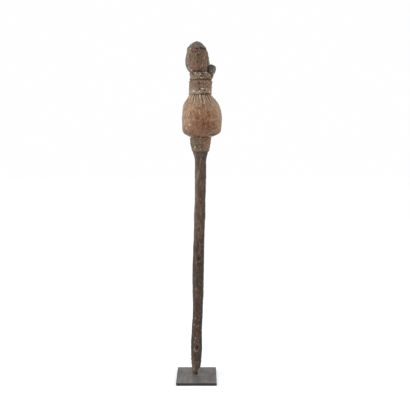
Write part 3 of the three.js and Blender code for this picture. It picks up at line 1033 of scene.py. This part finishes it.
SCUFFS = [
    (507.5, -1.07, 2.6, 3.0, 1.0),
    (501.0, -1.10, 2.2, 3.0, 1.0),
    (510.0, -0.74, 3.0, 4.0, 0.8),
    (501.0, -0.68, 3.6, 3.6, 0.8),
    (495.0, -0.90, 3.6, 3.0, 0.8),
    (518.0, 0.12, 3.4, 4.0, 0.4),
    (506.9, 0.15, 2.0, 1.8, 0.5),
    (502.4, 0.46, 1.8, 2.2, 0.5),
    (491.0, 0.75, 7.0, 1.6, 0.6),
    (496.0, 1.05, 4.0, 2.4, 0.5),
    (480.4, 0.78, 8.0, 0.9, 0.7),
    (530.0, 2.0, 6.0, 8.0, 0.6),
    (515.0, -2.9, 8.0, 5.0, 0.6),
]


# Dark spots low at the left, and a painted shadow in the gap of the wide pleat at the right.
DARK_SPOTS_AND_SHADOW = [
    (489.0, -1.00, 1.3, 2.6, 0.8),
    (486.1, -0.72, 1.8, 1.8, 1.0),
    (489.4, -0.51, 1.3, 2.8, 0.9),
    (482.0, -0.13, 1.2, 2.0, 0.8),
    (480.8, -0.45, 4.0, 1.0, 0.6),
    (551.6, 1.24, 2.0, 5.0, 1.0),
    (498.5, 0.60, 1.6, 1.2, 0.5),
    (494.0, 2.4, 2.0, 2.4, 0.8),
    (488.0, -2.3, 2.4, 2.0, 0.8),
]


def stuffed_hide(pleats):
    def tool(place):
        body = 1 - ramp(place.height, TIE - 0.4, TIE + 0.4)
        outer = ramp(place.radius, 19, 21)
        pleat, lip = pleated(pleats, place)
        crease = creased(place)
        gather = gathered(place)
        dents = lumps(place, 11, seed=21)
        wrinkles = lumps(place, 2.6, stretch=1.8, seed=22, octaves=2)
        scuff = marked(SCUFFS, place, seed=24)
        tie = bell(place.height - (TIE + 0.2), 1.5)
        knotted = 0.5 + 0.5 * ramp(place.turn, -0.1, 0.35) - 0.5 * bell(place.turn + 1.0, 0.45)
        knotted -= 0.35 * bell(place.turn + 0.2, 0.13)
        edges = bell(abs(place.turn) - math.pi / 2, 0.5)
        swell = 0.3 + 0.5 * ramp(place.height, 534, 550)
        swell += (0.4 + 0.9 * edges) * (bell(place.height - 539, 7) + 1.1 * bell(place.height - 489, 8))
        flakes = veins(place, 5.5, stretch=1.2, seed=29) * between(place.height, 487, 514, 4)
        flakes *= between(place.turn, -1.4, -0.4, 0.2) + 0.35 * between(place.turn, -0.4, 0.6, 0.2)
        dark_spots_and_shadow = marked(DARK_SPOTS_AND_SHADOW, place, seed=20)
        push = swell + 0.4 * dents + (0.24 + 0.3 * scuff) * wrinkles + 0.45 * lip + 0.15 * flakes
        push -= pleat + crease + 0.9 * gather + 0.4 * dark_spots_and_shadow + (0.5 + 0.9 * knotted) * (1 - 0.8 * edges) * tie
        # Painted shade in the pleats, creases and gathers and in the crease under the tie, and the dark spots with
        # their painted shadow.
        shade = 0.2 * pleat + 0.6 * crease + 0.6 * gather + dark_spots_and_shadow + 0.85 * knotted * tie
        # Paler grey-brown on the sides and the upper part: partly dust, and on the sides partly painted sheen.
        sides = ramp(abs(turned(place.turn, 0.08)), 0.35, 1.15)
        dust_and_sheen = max(0.9 * sides, 0.9 * ramp(place.height, 512, 546))
        paint = {
            "dark_marks_and_shade": body * shaded(shade - 0.2 * wrinkles),
            "red": marked(RED_STAINS, place) * (0.8 + 0.6 * lumps(place, 4.5, seed=25, octaves=3)),
            "brown_and_shade": marked(BROWN_STAINS_AND_SHADE, place, seed=26),
            "scuff": max(scuff, 0.35 * flakes),
            # Painted highlight on the raised lips beside the pleats.
            "ridge_highlight": body * lip * ramp(place.height, 536, 544),
            "dust_and_sheen": shaded(dust_and_sheen + 0.3 * lumps(place, 8, seed=28, octaves=2)),
        }
        return body * outer * push, 0.0, paint

    return tool


# %% Hide finish
def old_hide():
    hide = Finish("old_hide", roughness=0.7, specular_ior_level=0.3, sheen_weight=0.08)
    patch = hide.noise(12, detail=4, rough=0.6)
    cloud = hide.noise(5.5, stretch=(1, 1, 1.5), detail=4, rough=0.6, shift=(7, 1, 3))
    mottle = hide.noise(2.6, stretch=(1, 1, 1.5), detail=4, rough=0.65, shift=(2, 4, 6))
    pores = hide.cells(0.9)
    base = hide.mix(hide.band(patch, 0.35, 0.65), colour("845b3e"), colour("966c4c"))
    base = hide.over(base, cloud, 0.5, 0.34, "654229", 0.65)
    base = hide.over(base, cloud, 0.53, 0.68, "ab8566", 0.7)
    # Dust and painted sheen on the sides and the upper part.
    base = hide.over(base, hide.painted("dust_and_sheen"), 0.0, 1.0, "a68e77", 0.45)
    base = hide.over(base, mottle, 0.49, 0.36, "533623", 0.8)
    base = hide.over(base, mottle, 0.54, 0.67, "c2a184", 0.75)
    # Painted shade: darker towards the bottom, on the underside of the bundle.
    base = hide.over(base, hide.height(530, 482), 0.0, 1.0, "5a3823", 0.55)
    # Painted highlight on the pleat lips.
    base = hide.over(base, hide.painted("ridge_highlight"), 0.1, 0.9, "c6ad96", 0.5)
    # Brown stains, and painted shade low on the left and right.
    base = hide.over(base, hide.painted("brown_and_shade"), 0.1, 0.9, "5f4029", 0.7)
    base = hide.over(base, hide.painted("red"), 0.05, 0.85, "6d3018", 0.85)
    base = hide.over(base, hide.painted("scuff"), 0.2, 0.8, "b79d86", 0.6)
    base = hide.over(base, hide.noise(1.2, detail=3, shift=(3, 3, 9)), 0.62, 0.72, "4c3423", 0.6)
    # Painted shade in the pleats, creases and tie crease, and the dark spots.
    base = hide.over(base, hide.painted("dark_marks_and_shade"), 0.08, 0.85, "2b1c13", 0.92)
    hide.colour(base)
    hide.roughness(hide.band(mottle, 0.3, 0.7, 0.6, 0.84))
    creases = hide.noise(2.2, stretch=(1, 1, 1.6), detail=5, rough=0.65)
    hide.bump((creases, 0.35), (mottle, 0.2), (pores, 0.08))
    return hide.material


bundle_bm, bundle_line = bundle_skin()
pleats = new_pleats()
carve(bundle_bm, bundle_line, stuffed_hide(pleats))
bundle = keep(bundle_bm, "hide_bundle", "bundle", old_hide())
print(f"{len(pleats)} pleats and {len(CREASES)} creases")

# %% [markdown]
# ## The cloth binding
#
# A strip of cloth is wound round the neck. Its last turn ends at a seam just left of the front:
# the cloth lies smooth to the left of it and is rough, pitted and crusted to the right. The
# lower edge is rolled up into small curls. The weave is too fine to model, so it is bump, but
# the step at the seam, the turns and the curls are cut into the mesh.

# %% Binding
SEAM = -0.09
CURL_TOP = 570.0
RING_SEAM = 586.0
CURLS = [
    (569.1, 0.20, 2.6, 1.5, 0.9),
    (567.3, 0.62, 1.6, 2.2, 0.8),
    (565.0, -0.60, 2.6, 2.2, 0.9),
    (568.5, -0.72, 1.2, 1.2, 0.6),
    (563.0, -0.05, 2.2, 1.6, 0.8),
    (563.5, 0.95, 3.0, 2.4, 0.6),
    (561.5, -0.28, 1.4, 1.6, 0.5),
]
# Worn dark pits, and a painted shadow line in the crease under the binding's lower edge.
WORN_AND_SHADED = [
    (581.0, -0.18, 1.5, 3.0, 0.5),
    (576.5, -0.08, 1.4, 2.2, 0.6),
    (569.8, -0.06, 1.4, 1.8, 0.8),
    (573.8, 0.72, 1.6, 1.1, 0.9),
    (578.0, 0.30, 1.1, 1.2, 0.6),
    (580.5, 0.95, 1.0, 2.6, 0.5),
    (565.0, 0.40, 1.6, 1.6, 0.7),
    (576.5, -0.52, 2.4, 2.0, 0.4),
    (566.5, -0.38, 1.0, 2.2, 0.6),
    (560.5, -0.50, 3.6, 0.9, 0.7),
    (560.2, 0.28, 2.4, 0.9, 0.6),
    (560.2, 0.80, 5.0, 1.0, 0.7),
    (574.0, 2.6, 3.0, 2.0, 0.8),
    (579.0, -2.4, 2.6, 2.6, 0.8),
]


def seam_wave(place, seam):
    """How far a seam between two wrappings strays up or down, the same for both its sides."""
    around = Vector((3.4 * math.cos(place.turn), 3.4 * math.sin(place.turn), seam))
    return 2.2 * noise.noise(around) * bell(place.height - seam, 3.0)


def seam_lip(place):
    """A swelling on both sides of the seam, left out in front, so that the parts seem to run on."""
    off_front = ramp(abs(place.turn), 0.6, 1.1)
    return 0.8 * off_front * bell(abs(place.height - RING_SEAM) - 2.4, 1.3)


def wound_cloth(place):
    outer = ramp(place.radius, 17.4, 18.4)
    past = turned(place.turn, SEAM)
    right = between(past, 0.0, 2.6, 0.15)
    upper = ramp(place.height, CURL_TOP - 3, CURL_TOP + 1)
    seam = bell(past - 0.05 * lumps(place, 4, seed=30), 0.10) * ramp(place.height, 565, 569)
    turns = math.sin(place.height * 1.05 + 1.3 * place.turn + 1.6 * lumps(place, 9, seed=31))
    pits = crazed(place, 2.7, seed=32) - 0.5
    fine = lumps(place, 1.5, seed=33, octaves=3)
    broad = lumps(place, 6, stretch=0.8, seed=34)
    folds = (1 - upper) * (crazed(place, 3.6, stretch=0.7, seed=35) - 0.4)
    curls = marked(CURLS, place, seed=36)
    worn_and_shaded = marked(WORN_AND_SHADED, place, seed=37)
    rough = 0.3 + 0.7 * right
    push = 0.2 * turns + rough * (0.5 * pits + 0.3 * fine) + 0.5 * broad + 0.7 * folds
    push += 0.6 * curls + 0.4 * (1 - upper) - 0.4 * seam - 0.7 * worn_and_shaded - 0.3 * right * upper + seam_lip(place)
    # Painted shade in the seam, the cracks between crumbs and the crease under the binding, with the worn dark pits.
    shade = 0.22 * seam + 0.8 * worn_and_shaded - rough * (0.7 * pits + 0.25 * fine) - 0.5 * folds - 0.2 * turns
    paint = {"dark_marks_and_shade": shaded(shade - 0.5 * curls), "right": right, "pale": curls}
    return outer * push, seam_wave(place, RING_SEAM), paint


def crusted_cloth():
    cloth = Finish("crusted_cloth", roughness=0.95, specular_ior_level=0.2, sheen_weight=0.08)
    patch = cloth.noise(5, stretch=(1, 1, 1.4), detail=4, rough=0.6)
    mottle = cloth.noise(2.2, detail=4, rough=0.65, shift=(5, 9, 2))
    thread = cloth.noise(0.55, stretch=(1, 1, 5), detail=2)
    weft = cloth.noise(0.55, stretch=(5, 5, 1), detail=2, shift=(3, 1, 2))
    base = cloth.mix(cloth.band(patch, 0.35, 0.65), colour("74604e"), colour("917963"))
    reddish = cloth.math("MULTIPLY", cloth.painted("right"), cloth.band(patch, 0.45, 0.6))
    base = cloth.over(base, reddish, 0.0, 1.0, "906551", 0.5)
    base = cloth.over(base, cloth.painted("right"), 0.7, 0.0, "5c4b3d", 0.4)
    base = cloth.over(base, cloth.height(574, 563), 0.0, 1.0, "b29781", 0.55)
    base = cloth.over(base, thread, 0.6, 0.35, "564536", 0.35)
    base = cloth.over(base, mottle, 0.44, 0.32, "4c3c2e", 0.6)
    base = cloth.over(base, mottle, 0.57, 0.7, "c0a792", 0.6)
    # Painted shade in the seam, the cracks and the crease, and the worn dark pits.
    base = cloth.over(base, cloth.painted("dark_marks_and_shade"), 0.08, 0.85, "34261b", 0.9)
    base = cloth.over(base, cloth.painted("pale"), 0.15, 0.8, "ddbea6", 0.75)
    cloth.colour(base)
    cloth.bump((cloth.noise(1.6, detail=5, rough=0.65), 0.35), (thread, 0.12), (weft, 0.12))
    return cloth.material


binding_bm, binding_line = sleeve_skin("neck_binding", trim=0.1, rim=0.4)
carve(binding_bm, binding_line, wound_cloth)
binding = keep(binding_bm, "cloth_binding", "neck_binding", crusted_cloth())

# %% [markdown]
# ## The crust ring
#
# Offerings poured over the head have run down and set in a lumpy ring round its foot. It is all
# crumbs, a few of them nearly white. Cell noise at two sizes makes the crumbs, and the pale ones
# that show in front are placed.

# %% Ring
PALE_CRUMBS = [
    (598.1, -0.49, 1.5, 1.1, 1.0),
    (596.0, -0.01, 1.3, 1.6, 1.0),
    (600.2, 0.60, 1.8, 1.2, 1.0),
    (598.6, 0.72, 1.2, 0.9, 0.7),
    (592.5, -0.75, 1.4, 1.4, 0.4),
    (595.0, -0.28, 1.2, 2.0, 0.5),
    (590.6, 0.2, 1.5, 1.0, 0.6),
    (588.0, -0.95, 1.4, 1.4, 0.4),
    (596.0, 2.2, 1.8, 1.6, 0.8),
    (593.0, -2.0, 1.7, 1.5, 0.8),
    (597.5, 3.0, 1.6, 1.4, 0.7),
]
# Painted shade in the gaps between crumbs and along the seam with the binding.
SHADED_GAPS = [
    (596.9, -0.80, 1.7, 1.3, 1.0),
    (597.5, 0.22, 1.5, 1.5, 0.8),
    (592.6, 0.05, 2.4, 1.1, 0.9),
    (593.4, -0.33, 1.3, 1.0, 0.6),
    (587.0, -0.33, 1.3, 1.1, 0.6),
    (587.6, -0.06, 1.0, 1.3, 0.5),
    (586.6, 0.33, 2.6, 1.0, 0.9),
    (588.0, 0.72, 3.0, 1.5, 1.0),
    (590.0, 0.55, 1.4, 1.0, 0.6),
    (589.0, -2.6, 3.0, 1.4, 0.9),
    (594.0, 2.7, 2.0, 1.4, 0.9),
]


def crumbly(place):
    outer = ramp(place.radius, 16.3, 17.2)
    big = crazed(place, 4.2, seed=41) - 0.45
    small = crazed(place, 1.9, seed=42) - 0.5
    fine = lumps(place, 1.2, seed=43, octaves=3)
    broad = lumps(place, 7, seed=44)
    pale = marked(PALE_CRUMBS, place, seed=45)
    shaded_gaps = marked(SHADED_GAPS, place, seed=46)
    push = 0.9 * big + 0.4 * small + 0.2 * fine + 0.5 * broad + 0.6 * pale - 0.9 * shaded_gaps + seam_lip(place)
    # Painted shade: the gaps and the cracks between crumbs are painted darker.
    shade = shaded_gaps - 0.8 * big - 0.4 * small - 0.15 * fine
    return outer * push, seam_wave(place, RING_SEAM), {"dark_marks_and_shade": shaded(shade), "pale": pale}


def crust_finish(name, dark, light, speck):
    """Set matter: two greys or browns, pale grains, painted shade in cracks and hollows, and pale crumbs where
    painted.
    """
    crust = Finish(name, roughness=0.92, specular_ior_level=0.25, sheen_weight=0.08)
    patch = crust.noise(4.2, detail=4, rough=0.6)
    mottle = crust.noise(2.0, detail=4, rough=0.65, shift=(8, 2, 5))
    grains = crust.noise(0.8, detail=3, shift=(4, 4, 1))
    base = crust.mix(crust.band(patch, 0.35, 0.65), colour(dark), colour(light))
    base = crust.over(base, grains, 0.62, 0.36, "3f342a", 0.45)
    base = crust.over(base, mottle, 0.45, 0.32, "33291f", 0.65)
    base = crust.over(base, mottle, 0.57, 0.7, speck, 0.8)
    # Painted shade in cracks, gaps and hollows.
    base = crust.over(base, crust.painted("dark_marks_and_shade"), 0.08, 0.85, "231a13", 0.94)
    base = crust.over(base, crust.painted("pale"), 0.25, 0.75, "d8ccbc", 0.95)
    crust.colour(base)
    crust.bump((crust.noise(1.5, detail=5, rough=0.7), 0.35), (grains, 0.18))
    return crust.material


ring_bm, ring_line = sleeve_skin("crust_ring", trim=0.1, rim=0.5)
carve(ring_bm, ring_line, crumbly)
ring = keep(ring_bm, "crumbly_ring", "crust_ring", crust_finish("set_crust", "7a634f", "9b806a", "c6ae98"))

# %% [markdown]
# ## The crusted head
#
# The head is an ovoid with a cap-like top. Its matter has set in rough vertical streaks, with a
# shadow line under the cap, a small hump at the cap's right and a reddish patch low at the left
# of the front. One lathe blank carries all of it. The streaks are noise stretched upwards, and
# pits come from cells.

# %% Head blank
HEAD_SIDES = 64
HEAD_GAP = 2.6


def head_skin():
    surface = surface_of("head")
    low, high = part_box("head")
    line = line_of(surface, low.z + 0.5 * MM, high.z - 0.6 * MM, step=1.5)
    side = [(at(line, z, "radius"), z) for z in np.linspace(low.z, high.z - 0.6 * MM, 90)]
    outline = evenly([(0, low.z)] + side + [(0, high.z)], HEAD_GAP)
    bm = lathe(outline, HEAD_SIDES)
    bend(bm, line)
    wrap(bm, surface)
    return refine(bm, 2), line


# %% Head carving
CAP_EDGE = 643.2
RED_CRUST = [
    (643.6, -0.24, 4.4, 1.6, 0.9),
    (619.0, -0.32, 3.4, 5.0, 0.8),
    (611.5, -0.20, 4.4, 4.0, 1.0),
    (606.5, -0.35, 3.4, 3.4, 0.8),
    (626.0, -0.30, 2.6, 4.0, 0.4),
]
PALE_CRUST = [
    (643.8, -0.70, 2.6, 2.0, 0.9),
    (636.0, -0.72, 1.6, 4.0, 0.6),
    (629.0, -0.85, 1.6, 4.0, 0.4),
    (622.0, -0.72, 1.6, 3.4, 0.4),
    (604.5, -0.75, 2.4, 3.0, 0.7),
    (641.8, 0.36, 1.3, 1.7, 0.8),
    (634.5, 0.18, 2.4, 1.2, 0.7),
    (632.0, -0.12, 1.2, 2.2, 0.5),
    (626.0, 0.62, 2.0, 3.6, 0.5),
    (612.0, 0.42, 0.8, 6.0, 0.7),
    (606.0, 0.36, 1.0, 3.0, 0.5),
    (618.0, 0.82, 0.8, 5.0, 0.5),
    (612.0, 0.66, 0.8, 4.0, 0.4),
    (648.5, -0.12, 3.0, 1.8, 0.5),
    (651.5, 0.75, 2.4, 2.0, 0.5),
    (630.0, 2.4, 2.4, 6.0, 0.6),
    (612.0, -2.6, 2.4, 5.0, 0.6),
]
# Dark pits, and painted shadow: the line under the cap, the crevice beside the knot and the join with the ring.
DARK_CRUST_AND_SHADE = [
    (642.6, -0.34, 2.0, 1.0, 0.5),
    (643.4, 0.00, 3.0, 1.0, 0.7),
    (645.0, 0.50, 2.8, 1.3, 1.0),
    (644.2, 0.90, 3.6, 2.0, 1.0),
    (637.5, -0.38, 2.0, 1.1, 0.6),
    (631.5, 0.16, 2.6, 1.0, 0.6),
    (627.5, -0.62, 1.3, 2.0, 0.7),
    (625.5, -0.20, 1.4, 1.8, 0.6),
    (618.5, 0.02, 1.2, 2.4, 0.7),
    (621.5, -0.62, 1.6, 2.2, 0.5),
    (626.0, 0.42, 1.0, 2.4, 0.6),
    (613.0, -1.12, 1.6, 3.4, 1.0),
    (606.8, -0.70, 2.0, 2.0, 0.8),
    (602.4, -0.50, 3.0, 1.5, 1.0),
    (601.6, -0.08, 3.4, 1.2, 1.0),
    (604.5, 0.30, 1.4, 2.4, 0.6),
    (602.5, 0.62, 2.6, 2.2, 0.9),
    (606.8, 1.08, 2.8, 6.5, 1.0),
    (617.5, 1.08, 1.4, 5.0, 0.8),
    (625.0, 2.0, 1.8, 4.0, 0.7),
    (618.0, -2.0, 2.0, 4.0, 0.7),
    (635.0, 3.0, 2.6, 2.6, 0.7),
]


def streaked(place):
    shown = ramp(place.height, 600.5, 601.5)
    cap = ramp(place.height, CAP_EDGE + 1, CAP_EDGE + 4)
    crown = ramp(place.radius, 1.5, 6)
    calm = between(-place.turn, 0.85, 1.9, 0.3) * (1 - cap)
    rough = 1 - 0.65 * calm
    left = place._replace(across=(place.across[0] + 0.45 * place.height, place.across[1]))
    right = place._replace(across=(place.across[0] - 0.45 * place.height, place.across[1]))
    streaks = lumps(place, 1.9, stretch=5.0, seed=51, octaves=2)
    fibres = max(veins(left, 2.6, stretch=3.4, seed=54), veins(right, 2.6, stretch=3.4, seed=58))
    fibres *= rough * (1 - 0.7 * cap)
    crumbs = crazed(place, 2.8, stretch=1.5, seed=52) - 0.5
    fine = lumps(place, 1.2, seed=53, octaves=3)
    line = CAP_EDGE + 1.0 * math.sin(3 * place.turn)
    groove = bell(place.height - line, 1.2) * between(place.turn, -0.5, 2.9, 0.15)
    groove *= 0.4 + 0.6 * ramp(place.turn, 0.15, 0.4)
    pale = marked(PALE_CRUST, place, seed=55)
    dark = marked(DARK_CRUST_AND_SHADE, place, seed=56)
    push = (1 - 0.6 * cap) * 0.5 * streaks + 0.5 * crumbs + 0.22 * fine
    push = rough * push + 0.35 * pale + 0.18 * fibres - 0.7 * dark - 0.5 * groove
    # Painted shade: the line under the cap, the crevice, the join and the cracks between crumbs, with the dark pits.
    shade = dark + 0.35 * groove - rough * (0.3 * streaks + 0.5 * crumbs + 0.2 * fine) - 0.1 * fibres
    paint = {
        "dark_marks_and_shade": shaded(shade),
        "pale": max(0.8 * pale, 0.3 * fibres),
        "red": marked(RED_CRUST, place, seed=57),
        "cap": max(cap, 0.95 * calm),
    }
    return shown * (0.3 + 0.7 * crown) * push, 0.0, paint


def head_finish():
    """The set crust again, browner, with a grey cap and a grey left side."""
    crust = Finish("head_crust", roughness=0.9, specular_ior_level=0.25, sheen_weight=0.08)
    patch = crust.noise(5, stretch=(1, 1, 2), detail=4, rough=0.6)
    streak = crust.noise(1.8, stretch=(1, 1, 4), detail=4, rough=0.65, shift=(2, 7, 1))
    mottle = crust.noise(2.1, stretch=(1, 1, 1.4), detail=4, rough=0.65, shift=(8, 2, 5))
    grains = crust.noise(0.8, detail=3, shift=(4, 4, 1))
    base = crust.mix(crust.band(patch, 0.35, 0.65), colour("654b3c"), colour("80644f"))
    grey = crust.mix(patch, colour("62584e"), colour("8c7d70"))
    base = crust.mix(crust.painted("cap"), base, grey)
    base = crust.over(base, streak, 0.46, 0.3, "402f27", 0.7)
    base = crust.over(base, streak, 0.56, 0.7, "a68f7e", 0.65)
    base = crust.over(base, crust.painted("red"), 0.1, 0.9, "95654f", 0.6)
    base = crust.over(base, mottle, 0.43, 0.3, "392921", 0.7)
    base = crust.over(base, mottle, 0.58, 0.7, "b09987", 0.6)
    base = crust.over(base, grains, 0.62, 0.36, "3b2d25", 0.35)
    # Painted shade under the cap, beside the knot and in the cracks, and the dark pits.
    base = crust.over(base, crust.painted("dark_marks_and_shade"), 0.08, 0.85, "20160f", 0.94)
    base = crust.over(base, crust.painted("pale"), 0.15, 0.75, "baa491", 0.75)
    crust.colour(base)
    crust.bump((crust.noise(1.5, stretch=(1, 1, 2), detail=5, rough=0.7), 0.4), (grains, 0.2))
    return crust.material


head_bm, head_line = head_skin()
carve(head_bm, head_line, streaked)
head = keep(head_bm, "crusted_head", "head", head_finish())

# %% [markdown]
# ## The side knot
#
# A knot of hide sits in the angle between the head and the ring, with a short tail that runs
# down beside the ring. It is grey-green and smoother than the crust, and pale low at its right.
# It is painted dark on top, against the head and at its foot, as painted shade under the head
# and where it meets the ring. Its blank is spun round its own middle line and wrapped on the
# solid, so that its inner side keeps the shape of the head that it leans on.

# %% Knot
KNOT_SIDES = 40
KNOT_GAP = 1.6
KNOT_PALE = [(598.0, 0.8, 4.5, 4.0, 0.42), (592.0, 0.7, 3.0, 5.0, 0.4)]
# Painted shade: on top under the head, on the side against the head and at the foot.
KNOT_SHADE = [(612.5, 0.0, 7.0, 2.0, 0.7), (607.0, -1.3, 3.4, 7.0, 1.0), (589.5, 0.3, 3.0, 1.6, 0.6)]


def knot_skin():
    surface = surface_of("side_knot")
    low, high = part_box("side_knot")
    line = line_of(surface, low.z + 0.5 * MM, high.z - 0.5 * MM, step=1.0)
    side = [(at(line, z, "radius"), z) for z in np.linspace(low.z, high.z, 50)]
    outline = evenly([(0, low.z)] + side + [(0, high.z)], KNOT_GAP)
    bm = lathe(outline, KNOT_SIDES)
    bend(bm, line)
    wrap(bm, surface)
    return refine(bm, 2), line


def knotted(place):
    folds = lumps(place, 3.2, stretch=0.7, seed=61, octaves=2)
    fine = lumps(place, 1.3, seed=62, octaves=3)
    dark = marked(KNOT_SHADE, place, seed=63)
    push = 0.45 * folds + 0.2 * fine - 0.2 * dark
    # The dark here is painted shade under and against the head.
    shade = 0.8 * dark - 0.4 * folds - 0.15 * fine
    return push, 0.0, {"dark_marks_and_shade": shaded(shade), "pale": marked(KNOT_PALE, place)}


knot_bm, knot_line = knot_skin()
carve(knot_bm, knot_line, knotted)
knot = keep(
    knot_bm, "hide_knot", "side_knot",
    crust_finish("grey_hide", "595047", "7a7062", "a99f90"),
)

# %% [markdown]
# ## Sizes
#
# The box of the solids and the box of the dressed staff, side by side.

# %% Sizes
dressed_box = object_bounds()
for name, (low, high) in (("solids", cad_box), ("dressed", dressed_box)):
    print(name, [round((b - a) * 1000, 1) for a, b in zip(low, high)], "mm")
